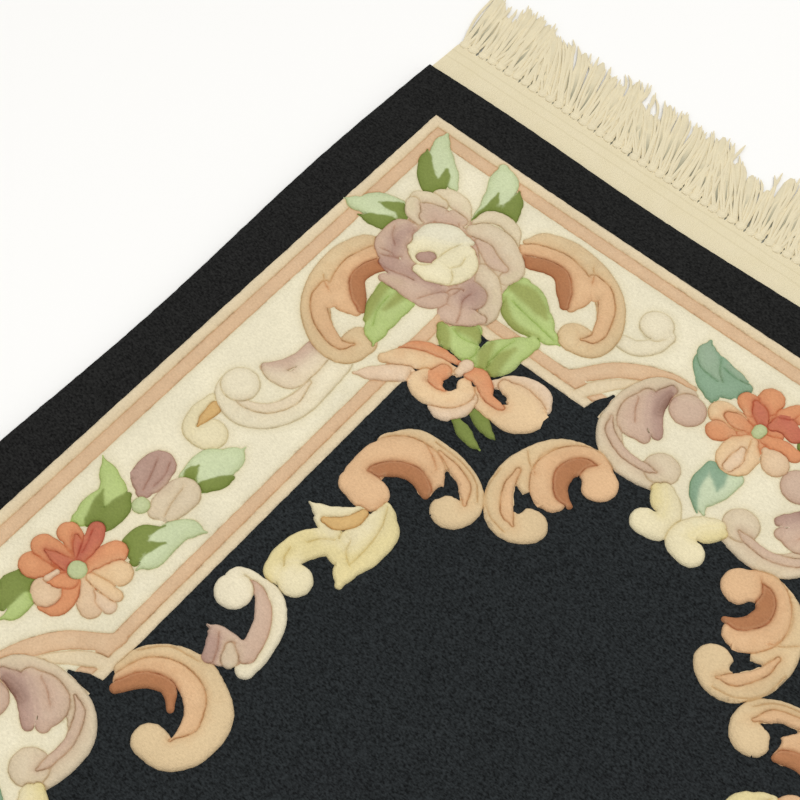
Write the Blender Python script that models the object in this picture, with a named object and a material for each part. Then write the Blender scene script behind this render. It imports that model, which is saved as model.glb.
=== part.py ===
"""A hand-knotted wool rug of three feet by five: carved pile, flat-woven ends and knotted fringes.

The rug lies flat on the surface z = 0 with its length along Y. The pile, its carved motifs and the
flat-woven ends are one cloth. Each fringe is a narrow strip just off the cloth's edge with its locks.

The pattern is set out in millimetres from one corner of the pile: u runs across the rug and v runs
along it. Each form of the pattern is a stroke, a few points along its middle line with half widths.
"""

import math
import random

import bmesh
import bpy
import numpy as np
from mathutils import Vector
from mathutils.geometry import delaunay_2d_cdt

MM = 0.001

# The cloth, in millimetres
PILE_WIDTH = 914.4
PILE_LENGTH = 1524.0
FLAT_END_LENGTH = 42.0
FLAT_END_TOP = 3.0
PILE_EDGE_TOP = 7.0
DARK_TOP = 10.0
GROUND_TOP = 11.0
MOTIF_TOP = 13.0
GROOVE_DEPTH = 1.6
SLOPE = 3.2

# The knotting wanders a little from the straight: how far, in millimetres, and its waves over the whole rug
WANDER = 1.1
WAVES_ALONG = 1.2
WAVES_ACROSS = 1.7
WANDER_FADE = 2.0

# How closely the outlines are followed, in millimetres
STRAIGHT_STEP = 150.0
END_STEP = 76.2
CURVE_STEP = 22.0
FEWEST_POINTS = 6
SPINE_STEP = 4.0
NEAR = 1.0

# The fringe, in millimetres, one lock to a knot
FRINGE_GAP = 0.4
STRIP_INSET = 2.0
STRIP_WIDTH = 4.0
STRIP_HEIGHT = 3.0
LOCK_COUNT = 92
KNOT_PITCH = 9.93
SHORTEST_LOCK = 76.0
LONGEST_LOCK = 86.0
SWAY = 5.0
LEAN = 9.0

# How the locks change from knot to knot: the turn of each wave at every knot, in radians
LENGTH_TURN = 0.61
LEAN_TURN = 0.105
SWAY_TURN = 0.21

# The borders: how far each starts from the pile's edge, and its top
BORDERS = (
    # inset, top
    (42.0, GROUND_TOP),
    (52.0, GROUND_TOP),
    (64.5, GROUND_TOP),
    (182.5, GROUND_TOP),
    (195.0, GROUND_TOP),
    (204.0, DARK_TOP),
)

# Each form is a row of points along its middle line: u, v, half width
CARTOUCHE_GROUND = (
    ((395, 188, 38), (457, 196, 38)),
)
CARTOUCHE_STRIPES = (
    ((300, 188, 6.3), (308, 184, 7), (329, 158, 8), (350, 143, 8), (372, 132, 6), (392, 128, 3)),
    ((320, 199, 4.8), (329, 181, 6.5), (343, 164, 5), (358, 152, 4)),
)
CARTOUCHE_GAP = (
    ((340, 212, 8), (341, 196, 6), (345, 178, 1.5)),
)
CORNER_SCROLL = (
    ((192, 96, 5), (207, 84, 9), (235, 80, 9), (266, 88, 11), (292, 108, 11), (305, 135, 11), (299, 156, 12),
     (284, 152, 17)),
    ((193, 110, 5), (216, 104, 9), (240, 105, 11), (258, 112, 13), (264, 128, 7)),
)
CORNER_LEAVES = (
    ((62, 57, 3), (78, 85, 16), (97, 110, 8)),
    ((124, 48, 5), (140, 64, 16), (150, 88, 14), (142, 112, 3)),
    ((41, 171, 1.5), (57, 167, 9), (74, 160, 15), (88, 155, 10)),
    ((216, 146, 9), (229, 157, 20), (250, 165, 15), (280, 169, 1.5)),
    ((262, 184, 6), (254, 198, 12), (250, 215, 17)),
    ((212, 206, 8), (210, 219, 16)),
    ((144, 218, 19), (145, 238, 17), (152, 260, 10), (162, 273, 1.5)),
)
CORNER_ROSE = (
    ((103, 116, 12), (124, 116, 11)),
    ((156, 104, 10), (178, 100, 8)),
    ((163, 121, 15), (190, 125, 17), (204, 140, 9)),
    ((110, 152, 9), (101, 172, 12), (106, 192, 12)),
    ((124, 207, 9), (150, 206, 12), (172, 204, 10)),
    ((192, 172, 14), (200, 190, 20), (192, 203, 11)),
    ((180, 150, 9), (204, 160, 9)),
    ((143, 158, 30), (151, 162, 30)),
)
BOW = (
    ((230, 244, 6), (204, 250, 9), (186, 266, 8), (171, 288, 4)),
    ((266, 274, 5), (281, 281, 12), (296, 287, 2)),
    ((268, 232, 7), (284, 222, 9), (304, 226, 13), (305, 245, 13), (288, 256, 9), (264, 256, 7)),
    ((244, 243, 5), (254, 241, 9)),
    ((222, 254, 8), (216, 274, 10), (236, 282, 8), (252, 278, 12), (254, 258, 9)),
)
BAND_VOLUTE = (
    ((330, 96, 14), (344, 102, 9), (342, 118, 8), (326, 129, 9)),
)
CARTOUCHE_SCROLL = (
    ((400, 146, 17), (372, 147, 16), (360, 172, 15), (357, 200, 11), (369, 219, 11), (395, 227, 11),
     (414, 218, 13), (416, 210, 16)),
    ((374, 166, 8), (380, 186, 15), (392, 188, 8)),
)
CENTRE_LEAVES = (
    ((376, 80, 1.5), (388, 98, 15), (408, 106, 19), (426, 102, 9)),
    ((457, 178, 14), (457, 198, 13), (463, 220, 2)),
    ((496, 112, 9), (508, 124, 7), (515, 132, 2)),
)
CENTRE_FLOWER = (
    ((452, 114, 6), (446, 97, 13)),
    ((463, 110, 5), (473, 95, 12)),
    ((447, 118, 4), (436, 108, 10)),
    ((465, 118, 5), (484, 112, 9)),
    ((466, 127, 4), (490, 125, 8)),
    ((447, 130, 6), (426, 131, 13)),
    ((444, 141, 4), (430, 148, 11)),
    ((470, 138, 4), (486, 146, 12)),
    ((458, 138, 6), (458, 158, 19)),
)
CENTRE_SHOOTS = (
    ((443, 222, 6), (447, 240, 10), (442, 256, 13), (435, 257, 13)),
)
FIELD_SCROLL = (
    ((388, 257, 15), (366, 246, 14), (348, 260, 19), (338, 282, 18), (331, 308, 13), (341, 330, 9),
     (357, 336, 9), (366, 323, 16)),
    ((352, 270, 10), (358, 289, 14), (374, 288, 6)),
)
FIELD_ACANTHUS = (
    ((271, 388, 8), (281, 406, 15), (279, 428, 18), (284, 450, 9), (287, 463, 3)),
    ((262, 406, 9), (245, 418, 9), (224, 421, 1.5)),
    ((268, 428, 11), (246, 446, 13), (237, 468, 11), (241, 484, 13), (254, 482, 17)),
)
FIELD_MAUVE = (
    ((227, 518, 16), (223, 508, 12), (245, 503, 9), (265, 516, 11), (276, 540, 12), (278, 565, 10)),
    ((266, 552, 8), (252, 558, 13), (236, 552, 2)),
)
FIELD_PEACH = (
    ((208, 622, 7), (214, 602, 9), (236, 587, 10), (262, 588, 12), (286, 606, 15), (291, 632, 13),
     (280, 650, 12), (262, 650, 14)),
)
BAND_SCROLL = (
    ((149, 308, 15), (153, 335, 14), (153, 362, 11), (143, 385, 11), (122, 397, 12), (102, 388, 12),
     (106, 379, 17)),
    ((130, 312, 14), (128, 334, 16), (114, 350, 6)),
    ((99, 406, 9), (98, 420, 10), (105, 433, 11), (119, 429, 15)),
)
BAND_SPRAY = (
    ((148, 420, 1.5), (143, 442, 15), (140, 462, 18)),
    ((68, 502, 1.5), (86, 516, 12), (102, 538, 20)),
    ((178, 498, 1.5), (164, 508, 9), (158, 532, 14)),
    ((145, 516, 1.5), (140, 538, 8)),
    ((98, 620, 11), (103, 634, 16), (107, 652, 2)),
    ((108, 478, 14), (107, 487, 15), (114, 505, 5)),
    ((141, 484, 14), (139, 496, 15), (134, 508, 8)),
)
BAND_FLOWER = (
    ((130, 576, 7), (134, 558, 12)),
    ((138, 577, 5), (151, 567, 12)),
    ((120, 579, 4), (113, 558, 10)),
    ((113, 578, 5), (97, 566, 11)),
    ((110, 600, 6), (95, 606, 12)),
    ((112, 588, 6), (91, 589, 12)),
    ((140, 598, 5), (154, 604, 9)),
    ((138, 588, 5), (159, 587, 13)),
    ((130, 597, 7), (124, 613, 17)),
)

SIDE_SHIFT = PILE_LENGTH / 2 - PILE_WIDTH / 2


def as_drawn(u, v):
    return u, v


def on_the_side(u, v):
    """The end's cartouche again at the middle of a long side: turned over the corner's diagonal."""
    return v, u + SIDE_SHIFT


def corner_swapped(u, v):
    return v, u - 3.0


def field_swapped(u, v):
    return v - 6.0, u - 6.0


# The strokes of one quarter in the order that they lie on each other, with the way each is placed
QUARTER = (
    # strokes, way of placing, top
    (CARTOUCHE_GROUND, as_drawn, GROUND_TOP),
    (CARTOUCHE_GROUND, on_the_side, GROUND_TOP),
    (CARTOUCHE_STRIPES, as_drawn, GROUND_TOP),
    (CARTOUCHE_STRIPES, on_the_side, GROUND_TOP),
    (CARTOUCHE_GAP, as_drawn, DARK_TOP),
    (CARTOUCHE_GAP, on_the_side, DARK_TOP),
    (BAND_VOLUTE, as_drawn, MOTIF_TOP),
    (BAND_SCROLL, as_drawn, MOTIF_TOP),
    (CORNER_SCROLL, corner_swapped, MOTIF_TOP),
    (CORNER_SCROLL, as_drawn, MOTIF_TOP),
    (CORNER_LEAVES, as_drawn, MOTIF_TOP),
    (CORNER_ROSE, as_drawn, MOTIF_TOP),
    (BOW, as_drawn, MOTIF_TOP),
    (CARTOUCHE_SCROLL, as_drawn, MOTIF_TOP),
    (CARTOUCHE_SCROLL, on_the_side, MOTIF_TOP),
    (CENTRE_SHOOTS, as_drawn, MOTIF_TOP),
    (CENTRE_SHOOTS, on_the_side, MOTIF_TOP),
    (FIELD_SCROLL, field_swapped, MOTIF_TOP),
    (FIELD_SCROLL, as_drawn, MOTIF_TOP),
    (FIELD_PEACH, as_drawn, MOTIF_TOP),
    (FIELD_MAUVE, as_drawn, MOTIF_TOP),
    (FIELD_ACANTHUS, as_drawn, MOTIF_TOP),
    (BAND_SPRAY, as_drawn, MOTIF_TOP),
    (BAND_FLOWER, as_drawn, MOTIF_TOP),
)

# What stands once at the middle of each end and each side, over the quarters
CENTRES = (
    # strokes, way of placing, top
    (CENTRE_LEAVES, as_drawn, MOTIF_TOP),
    (CENTRE_LEAVES, on_the_side, MOTIF_TOP),
    (CENTRE_FLOWER, as_drawn, MOTIF_TOP),
    (CENTRE_FLOWER, on_the_side, MOTIF_TOP),
)

# One lock of the fringe: how far along it is, half width and height of its three-sided section
LOCK = (
    # along, half width, height
    (0.00, 2.1, 3.0),
    (0.05, 3.7, 5.4),
    (0.13, 2.3, 3.4),
    (0.55, 3.4, 3.0),
    (1.00, 2.4, 1.8),
)


class Form:
    """A painted area of the pile with its outline, its top and a test for what lies in it."""

    def __init__(self, outline, top, depth_in, low, high):
        self.outline = outline
        self.top = top
        self.depth_in = depth_in
        self.low = np.array(low)
        self.high = np.array(high)

    def covers(self, points, margin=0.0):
        """Which of the points lie inside by more than the margin."""
        inside = np.zeros(len(points), bool)
        near = ((points > self.low) & (points < self.high)).all(axis=1)
        if near.any():
            inside[near] = self.depth_in(points[near]) > margin
        return inside


def band_form(inset, top):
    """The rectangle that starts at this inset from the pile's edge."""
    low = np.array((inset, inset))
    high = np.array((PILE_WIDTH - inset, PILE_LENGTH - inset))
    corners = [(low[0], low[1]), (high[0], low[1]), (high[0], high[1]), (low[0], high[1])]
    outline = []
    for a, b in zip(corners, corners[1:] + corners[:1]):
        a, b = np.array(a), np.array(b)
        count = max(1, round(np.linalg.norm(b - a) / STRAIGHT_STEP))
        outline += [a + (b - a) * i / count for i in range(count)]

    def depth_in(points):
        return np.minimum(points - low, high - points).min(axis=1)

    return Form(np.array(outline), top, depth_in, low, high)


def spine_of(rows):
    """Points about SPINE_STEP apart along the smooth line through a stroke's rows."""
    rows = np.array(rows, float)
    ends = np.vstack([2 * rows[0] - rows[1], rows, 2 * rows[-1] - rows[-2]])
    pieces = []
    for before, a, b, after in zip(ends, ends[1:], ends[2:], ends[3:]):
        count = max(2, int(np.linalg.norm(b[:2] - a[:2]) / SPINE_STEP))
        t = (np.arange(count) / count)[:, None]
        bend = (b - before) * t + (2 * before - 5 * a + 4 * b - after) * t**2
        point = a + 0.5 * (bend + (3 * a - before - 3 * b + after) * t**3)
        point[:, 2] = a[2] + (b[2] - a[2]) * t[:, 0]
        pieces.append(point)
    pieces.append(rows[-1:])
    return np.vstack(pieces)


def evenly(points, step):
    """The closed line again, with points about one step apart."""
    closed = np.vstack([points, points[:1]])
    lengths = np.linalg.norm(np.diff(closed, axis=0), axis=1)
    along = np.concatenate([[0], np.cumsum(lengths)])
    count = max(FEWEST_POINTS, round(along[-1] / step))
    at = np.arange(count) * along[-1] / count
    return np.column_stack([np.interp(at, along, closed[:, axis]) for axis in (0, 1)])


def stroke_form(rows, top):
    """A stroke of the pattern: everything within its half width of its middle line."""
    spine = spine_of(rows)
    middle, half = spine[:, :2], spine[:, 2]
    ahead = np.gradient(middle, axis=0)
    ahead /= np.linalg.norm(ahead, axis=1)[:, None]
    left = np.column_stack([-ahead[:, 1], ahead[:, 0]])

    def cap(centre, radius, start):
        angles = start - np.linspace(0, math.pi, 8)[1:-1]
        return centre + radius * np.column_stack([np.cos(angles), np.sin(angles)])

    end = cap(middle[-1], half[-1], math.atan2(left[-1, 1], left[-1, 0]))
    start = cap(middle[0], half[0], math.atan2(-left[0, 1], -left[0, 0]))
    sides = left * half[:, None]
    ring = np.vstack([middle + sides, end, (middle - sides)[::-1], start])

    def depth_in(points):
        away = np.linalg.norm(points[:, None] - middle[None], axis=2)
        return (half[None] - away).max(axis=1)

    ring = ring[depth_in(ring) < 2 * NEAR]
    low, high = middle.min(axis=0) - half.max(), middle.max(axis=0) + half.max()
    return Form(evenly(ring, CURVE_STEP), top, depth_in, low, high)


def placed(rows, way, over_u, over_v):
    """A stroke's rows placed in its quarter, and turned over to the quarter that it is for."""
    out = []
    for u, v, half in rows:
        u, v = way(u, v)
        out.append((PILE_WIDTH - u if over_u else u, PILE_LENGTH - v if over_v else v, half))
    return out


def all_forms():
    """Every form of the pattern, the lowest first."""
    forms = [band_form(inset, top) for inset, top in BORDERS]
    for over_v in (False, True):
        for over_u in (False, True):
            for strokes, way, top in QUARTER:
                forms += [stroke_form(placed(rows, way, over_u, over_v), top) for rows in strokes]
    for turned in (False, True):
        for strokes, way, top in CENTRES:
            forms += [stroke_form(placed(rows, way, turned, turned), top) for rows in strokes]
    return forms


def top_at(points, forms):
    """The height of the cloth's top at each point, before the carving between the forms."""
    in_pile = (points[:, 1] > 0) & (points[:, 1] < PILE_LENGTH)
    tops = np.where(in_pile, DARK_TOP, FLAT_END_TOP)
    for form in forms:
        tops[form.covers(points)] = form.top
    return tops


def hidden(points, forms_above):
    """Which points lie under a form that is above them."""
    out = np.zeros(len(points), bool)
    for form in forms_above:
        out |= form.covers(points, NEAR)
    return out


def crossing(seen, lost, forms_above):
    """Where the line from a point that shows to one that is hidden goes under."""
    for _ in range(7):
        middle = (seen + lost) / 2
        if hidden(middle[None], forms_above)[0]:
            lost = middle
        else:
            seen = middle
    return seen


def meet(form, other):
    return (other.low < form.high).all() and (other.high > form.low).all()


def showing_lines(forms):
    """The stretches of every form's outline that no later form covers, as pairs of points."""
    lines = []
    for place, form in enumerate(forms):
        above = [other for other in forms[place + 1:] if meet(form, other)]
        points = form.outline
        under = hidden(points, above)
        for i, j in zip(range(len(points)), np.roll(range(len(points)), -1)):
            a, b = points[i], points[j]
            if under[i] and under[j]:
                continue
            if under[i]:
                a = crossing(b, a, above)
            elif under[j]:
                b = crossing(a, b, above)
            if np.linalg.norm(b - a) > 2 * NEAR:
                lines.append((a, b))
    return lines


def straight(start, end, step):
    """A straight run as pairs of points about one step apart."""
    start, end = np.array(start, float), np.array(end, float)
    count = max(1, round(np.linalg.norm(end - start) / step))
    stations = [start + (end - start) * i / count for i in range(count + 1)]
    return list(zip(stations, stations[1:]))


def side_lines():
    """The long sides of the pile."""
    return [line for u in (0, PILE_WIDTH) for line in straight((u, 0), (u, PILE_LENGTH), STRAIGHT_STEP)]


def across_lines(beyond):
    """Lines across the rug at both ends, so far beyond the pile."""
    stations = (-beyond, PILE_LENGTH + beyond)
    return [line for v in stations for line in straight((0, v), (PILE_WIDTH, v), END_STEP)]


def shoulder_frame():
    """The pile's full height just inside its four edges."""
    near, far_u, far_v = SLOPE, PILE_WIDTH - SLOPE, PILE_LENGTH - SLOPE
    corners = ((near, near), (far_u, near), (far_u, far_v), (near, far_v))
    lines = []
    for start, end in zip(corners, corners[1:] + corners[:1]):
        lines += straight(start, end, STRAIGHT_STEP)
    return lines


def flat_end_sides():
    """The short sides of the flat-woven ends."""
    lines = []
    for u in (0, PILE_WIDTH):
        lines += straight((u, -FLAT_END_LENGTH), (u, 0), FLAT_END_LENGTH)
        lines += straight((u, PILE_LENGTH), (u, PILE_LENGTH + FLAT_END_LENGTH), FLAT_END_LENGTH)
    return lines


def distances(points, lines):
    """From each point to the nearest line: how far, and which line it is."""
    a = np.array([line[0] for line in lines])
    b = np.array([line[1] for line in lines])
    along = b - a
    length = (along**2).sum(axis=1)
    nearest = np.empty(len(points))
    which = np.empty(len(points), int)
    for start in range(0, len(points), 500):
        p = points[start:start + 500, None]
        t = (((p - a) * along).sum(axis=2) / length).clip(0, 1)
        away = np.linalg.norm(p - (a + t[..., None] * along), axis=2)
        which[start:start + 500] = away.argmin(axis=1)
        nearest[start:start + 500] = away.min(axis=1)
    return nearest, which


def line_bottoms(lines, forms):
    """The height along each line: the lower top beside it, or a groove where both tops are alike."""
    a = np.array([line[0] for line in lines])
    b = np.array([line[1] for line in lines])
    ahead = (b - a) / np.linalg.norm(b - a, axis=1)[:, None]
    side = 2 * NEAR * np.column_stack([-ahead[:, 1], ahead[:, 0]])
    middle = (a + b) / 2
    one, other = top_at(middle + side, forms), top_at(middle - side, forms)
    return np.minimum(one, other) - np.where(one == other, GROOVE_DEPTH, 0)


def shoulder_of(outline, inwards):
    """The closed line one slope's width inside an outline, or outside it."""
    ahead = np.roll(outline, -1, axis=0) - np.roll(outline, 1, axis=0)
    ahead /= np.linalg.norm(ahead, axis=1)[:, None]
    area = (outline[:, 0] * np.roll(outline[:, 1], -1) - outline[:, 1] * np.roll(outline[:, 0], -1)).sum()
    turn = math.copysign(SLOPE, area) * (1 if inwards else -1)
    return outline + turn * np.column_stack([-ahead[:, 1], ahead[:, 0]])


def shoulder_lines(forms, lines):
    """Where the tops are full again beside the carving, where there is room and nothing lies over it."""
    out = []
    for place, form in enumerate(forms):
        above = forms[place + 1:]
        for inwards in (True, False) if place < len(BORDERS) else (True,):
            ring = shoulder_of(form.outline, inwards)
            away, _ = distances(ring, lines)
            kept = (away > 0.8 * SLOPE) & ~hidden(ring, above)
            out += [(ring[i - 1], ring[i]) for i in range(len(ring)) if kept[i - 1] and kept[i]]
    return out


def carved_top():
    """The cloth's top as a carved map: its points in millimetres and its triangles."""
    forms = all_forms()
    carved = showing_lines(forms) + across_lines(0)
    sides = side_lines()
    lines = carved + sides
    bottoms = np.concatenate([line_bottoms(carved, forms), np.full(len(sides), PILE_EDGE_TOP)])
    drawn = lines + shoulder_lines(forms, lines) + shoulder_frame() + flat_end_sides()
    drawn += across_lines(FLAT_END_LENGTH)
    points = [Vector(point) for line in drawn for point in line]
    edges = [(2 * i, 2 * i + 1) for i in range(len(drawn))]
    points, _, faces, _, _, _ = delaunay_2d_cdt(points, edges, [], 0, NEAR, False)
    flat = np.array(points)
    away, which = distances(flat, lines)
    share = (away / SLOPE).clip(0, 1)
    bottom = bottoms[which]
    tops = np.maximum(top_at(flat, forms), bottom)
    heights = bottom + (tops - bottom) * np.sin(share * math.pi / 2)
    on_end = (flat[:, 1] <= NEAR) | (flat[:, 1] >= PILE_LENGTH - NEAR)
    heights[on_end] = FLAT_END_TOP
    return np.column_stack([flat, heights]), faces


def wandered(u, v):
    """Where a point of the pattern lies in X and Y, in metres."""
    across, along = u / PILE_WIDTH - 0.5, v / PILE_LENGTH - 0.5
    x = u - PILE_WIDTH / 2
    x += WANDER * math.sin(2 * math.pi * WAVES_ALONG * along + 0.4) * math.cos(WANDER_FADE * across)
    y = PILE_LENGTH / 2 - v
    y += WANDER * math.sin(2 * math.pi * WAVES_ACROSS * across + 1.1) * math.cos(WANDER_FADE * along)
    return x * MM, y * MM


def new_object(name, mesh, material):
    mesh.materials.append(material)
    obj = bpy.data.objects.new(name, mesh)
    bpy.context.scene.collection.objects.link(obj)
    return obj


def make_cloth(material):
    """The whole cloth: the carved top, walls down to the floor and the flat underside."""
    points, faces = carved_top()
    body = bmesh.new()
    for u, v, height in points:
        body.verts.new((*wandered(u, v), height * MM))
    body.verts.ensure_lookup_table()
    for face in faces:
        body.faces.new([body.verts[i] for i in face])
    bmesh.ops.recalc_face_normals(body, faces=body.faces)
    if sum(face.normal.z for face in body.faces) < 0:
        bmesh.ops.reverse_faces(body, faces=body.faces)
    edge_loop = [edge for edge in body.edges if edge.is_boundary]
    walls = bmesh.ops.extrude_edge_only(body, edges=edge_loop)["geom"]
    lower = [part for part in walls if isinstance(part, bmesh.types.BMVert)]
    for vert in lower:
        vert.co.z = 0
    bottom_loop = [part for part in walls if isinstance(part, bmesh.types.BMEdge) and part.is_boundary]
    bmesh.ops.contextual_create(body, geom=bottom_loop)
    bmesh.ops.recalc_face_normals(body, faces=body.faces)
    mesh = bpy.data.meshes.new("rug")
    body.to_mesh(mesh)
    body.free()
    return new_object("rug", mesh, material)


def lock_sections(root, length, lean, sway):
    """A lock's sections from its root to its tip: middle across, distance out, half width, height."""
    out = []
    for along, half, height in LOCK:
        drift = lean * along**1.5 + sway * math.sin(math.pi * along)
        out.append((root + drift, length * along, half, height))
    return out


def lock_shape(i, chance):
    """How long the lock at this knot is, how far it leans and how far it sways: neighbours lie alike."""
    share = min(1.0, 0.5 + 0.4 * math.sin(i * LENGTH_TURN) + 0.3 * chance.random())
    length = SHORTEST_LOCK + (LONGEST_LOCK - SHORTEST_LOCK) * share
    return length, LEAN * math.sin(i * LEAN_TURN + 0.9), SWAY * math.sin(i * SWAY_TURN + 2.0)


def make_fringe(name, at_back, material):
    """A narrow strip along one end of the cloth with its locks lying out from it on the floor."""
    inner = FLAT_END_LENGTH + FRINGE_GAP
    outer = inner + STRIP_WIDTH
    low_end, high_end = STRIP_INSET, PILE_WIDTH - STRIP_INSET
    body = bmesh.new()
    chance = random.Random(name)

    def point(u, out, z):
        x, y = wandered(u, -out if at_back else PILE_LENGTH + out)
        return body.verts.new((x, y, z * MM))

    near_low, near_high = point(low_end, inner, 0), point(low_end, inner, STRIP_HEIGHT)
    far_low, far_high = point(low_end, outer, 0), point(low_end, outer, STRIP_HEIGHT)
    body.faces.new((near_low, near_high, far_high, far_low))
    for i in range(LOCK_COUNT):
        root = PILE_WIDTH / 2 + (i - (LOCK_COUNT - 1) / 2) * KNOT_PITCH
        rings = []
        for u, out, half, height in lock_sections(root, *lock_shape(i, chance)):
            out += outer
            rings.append((point(u - half, out, 0), point(u + half, out, 0), point(u, out, height)))
        for a, b in zip(rings, rings[1:]):
            for j, k in ((0, 1), (1, 2), (2, 0)):
                body.faces.new((a[j], a[k], b[k], b[j]))
        body.faces.new(rings[-1])
        left, right, peak = rings[0]
        beyond = high_end if i == LOCK_COUNT - 1 else root + KNOT_PITCH / 2
        next_low, next_high = point(beyond, inner, 0), point(beyond, inner, STRIP_HEIGHT)
        body.faces.new((far_low, far_high, peak, left))
        body.faces.new((near_low, next_low, next_high, near_high))
        body.faces.new((near_high, next_high, peak, far_high))
        body.faces.new((near_low, far_low, left, right, next_low))
        near_low, near_high, far_low, far_high = next_low, next_high, right, peak
    end_low, end_high = point(high_end, outer, 0), point(high_end, outer, STRIP_HEIGHT)
    body.faces.new((far_low, far_high, end_high, end_low))
    body.faces.new((near_high, end_high, far_high))
    body.faces.new((near_low, far_low, end_low))
    body.faces.new((near_low, near_high, end_high, end_low))
    bmesh.ops.recalc_face_normals(body, faces=body.faces)
    mesh = bpy.data.meshes.new(name)
    body.to_mesh(mesh)
    body.free()
    return new_object(name, mesh, material)


def wool(name, colour, roughness):
    """A plain yarn finish."""
    material = bpy.data.materials.new(name)
    material.use_nodes = True
    shader = material.node_tree.nodes["Principled BSDF"]
    shader.inputs["Base Color"].default_value = (*colour, 1.0)
    shader.inputs["Roughness"].default_value = roughness
    shader.inputs["Metallic"].default_value = 0.0
    return material


def main():
    for obj in list(bpy.data.objects):
        bpy.data.objects.remove(obj, do_unlink=True)
    make_cloth(wool("pile_wool", (0.80, 0.75, 0.57), 0.95))
    cotton = wool("fringe_cotton", (0.74, 0.66, 0.49), 0.9)
    make_fringe("fringe_back", True, cotton)
    make_fringe("fringe_front", False, cotton)


main()
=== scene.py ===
"""The looks of a hand-knotted wool rug: its carved pile in dyed yarns, its cotton ends and its fringes.

The pattern is charted in millimetres from one corner of the pile: u runs across the rug and v
along it, from the fringed end that the camera sees. A stroke is a yarn and the points along its middle
line, each with its half width; a cut has points alone. Later strokes lie over earlier ones, and where two
meet the shears have carved a line into the pile. A stroke whose yarn is written with a plus sign is of one
piece with the strokes of the same yarn under it.
"""

import math
import random

import bpy
import numpy as np
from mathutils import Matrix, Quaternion
from mathutils.geometry import delaunay_2d_cdt
from mathutils.kdtree import KDTree


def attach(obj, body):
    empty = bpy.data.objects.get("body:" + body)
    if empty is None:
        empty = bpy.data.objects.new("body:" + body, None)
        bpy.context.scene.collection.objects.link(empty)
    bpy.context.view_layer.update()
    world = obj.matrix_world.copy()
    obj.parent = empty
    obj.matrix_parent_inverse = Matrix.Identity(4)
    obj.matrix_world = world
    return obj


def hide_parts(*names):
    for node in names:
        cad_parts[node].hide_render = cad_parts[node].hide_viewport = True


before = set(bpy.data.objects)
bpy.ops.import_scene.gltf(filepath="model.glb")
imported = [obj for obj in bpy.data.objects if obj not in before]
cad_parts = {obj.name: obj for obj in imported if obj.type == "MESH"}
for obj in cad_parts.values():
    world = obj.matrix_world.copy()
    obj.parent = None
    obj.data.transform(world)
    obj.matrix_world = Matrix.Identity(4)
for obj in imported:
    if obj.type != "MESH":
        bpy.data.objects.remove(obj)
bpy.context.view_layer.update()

bl_info = {
    "name": "Carved wool rug",
    "version": (1, 0, 0),
    "blender": (4, 5, 0),
    "location": "View3D > Sidebar > Rug",
    "description": "Models and finishes a hand-knotted rug with a carved pile over its frame",
    "category": "Mesh",
}

MM = 0.001

# The cloth, in millimetres
PILE_WIDTH = 914.4
PILE_LENGTH = 1524.0
FLAT_END_LENGTH = 42.0
KNOT_PITCH = 9.93
KNOT_COUNT = 92

# The knotting wanders a little from the straight: how far, in millimetres, and its waves over the whole rug
WANDER = 1.1
WAVES_ALONG = 1.2
WAVES_ACROSS = 1.7
WANDER_FADE = 2.0
# The outer edges run in slow waves, in millimetres: how far out on the whole, how far to and fro, where a
# wave is widest, and its length
SIDE_EDGE = (3.9, 2.6, 140.0, 480.0)
END_EDGE = (3.2, 1.5, 90.0, 360.0)

# The end's cartouche stands again at the middle of each long side, so far along it
SIDE_SHIFT = PILE_LENGTH / 2 - PILE_WIDTH / 2

# The borders: how far each starts from the pile's edge, and its yarn
BORDERS = (
    # inset, yarn
    (0.0, "black"),
    (41.0, "light"),
    (51.5, "stripe"),
    (64.5, "cream"),
    (182.5, "stripe"),
    (194.0, "light"),
    (203.5, "field"),
)

# The dyed yarns: name, colour, what it knots
YARNS = (
    ("black", "1b1b1a", "The outer border"),
    ("field", "1f2223", "The field, a bluer black"),
    ("cream", "e1d8bc", "The ground of the main border"),
    ("light", "dbc9a8", "The pale stripes"),
    ("stripe", "d4b592", "The peach stripes"),
    ("pale_leaf", "c3cca3", "The light halves of leaves"),
    ("dark_leaf", "7b8746", "The shaded halves of leaves"),
    ("bright_leaf", "b1c07c", "The bright leaves below the rose"),
    ("mid_leaf", "969d5a", "The folds of the bright leaves"),
    ("greige", "d2c1a4", "The outer petals and the cartouche scrolls"),
    ("greige_pale", "e0d5b8", "The pale scrolls of the band"),
    ("mauve_pale", "dccbae", "The folds of the pale scrolls"),
    ("mauve", "b09283", "The shaded petals"),
    ("mauve_light", "c6ab95", "The lower petals and the folds of the pale ones"),
    ("mauve_dark", "8c6e60", "The darkest turns of the cartouche scrolls"),
    ("tan_cream", "dacbac", "The back petals"),
    ("heart", "e2d8b5", "The heart of the rose"),
    ("heart_grey", "dbd4ba", "The shaded side of the heart"),
    ("tan", "d2b991", "The light outer side of the scrolls"),
    ("tan_orange", "d6b087", "The inner side of the scrolls"),
    ("brown", "a9744f", "The shaded turns of the scrolls"),
    ("orange", "d2946a", "The petals of the small flowers"),
    ("coral", "bb6e57", "The shaded petals of the small flowers"),
    ("peach", "ddbf96", "The ribbon and the light petals"),
    ("peach_pale", "d7bb99", "The palest petals"),
    ("pink", "dcc3a6", "The ribbon's turned edges"),
    ("teal", "89a287", "The blue-green leaf"),
    ("teal_light", "93a68c", "The light side of the blue-green leaf"),
    ("teal_pale", "c3cdac", "The light side of the pendant leaf"),
    ("eye", "bac194", "The flowers' eyes"),
    ("yellow", "dacb97", "The acanthus scrolls and the folds of the pale shoots"),
    ("yellow_pale", "dfd3ae", "The light side of the acanthus"),
    ("amber", "d0ae76", "The shaded side of the acanthus"),
)
COTTON = "e2d5b2"

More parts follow.
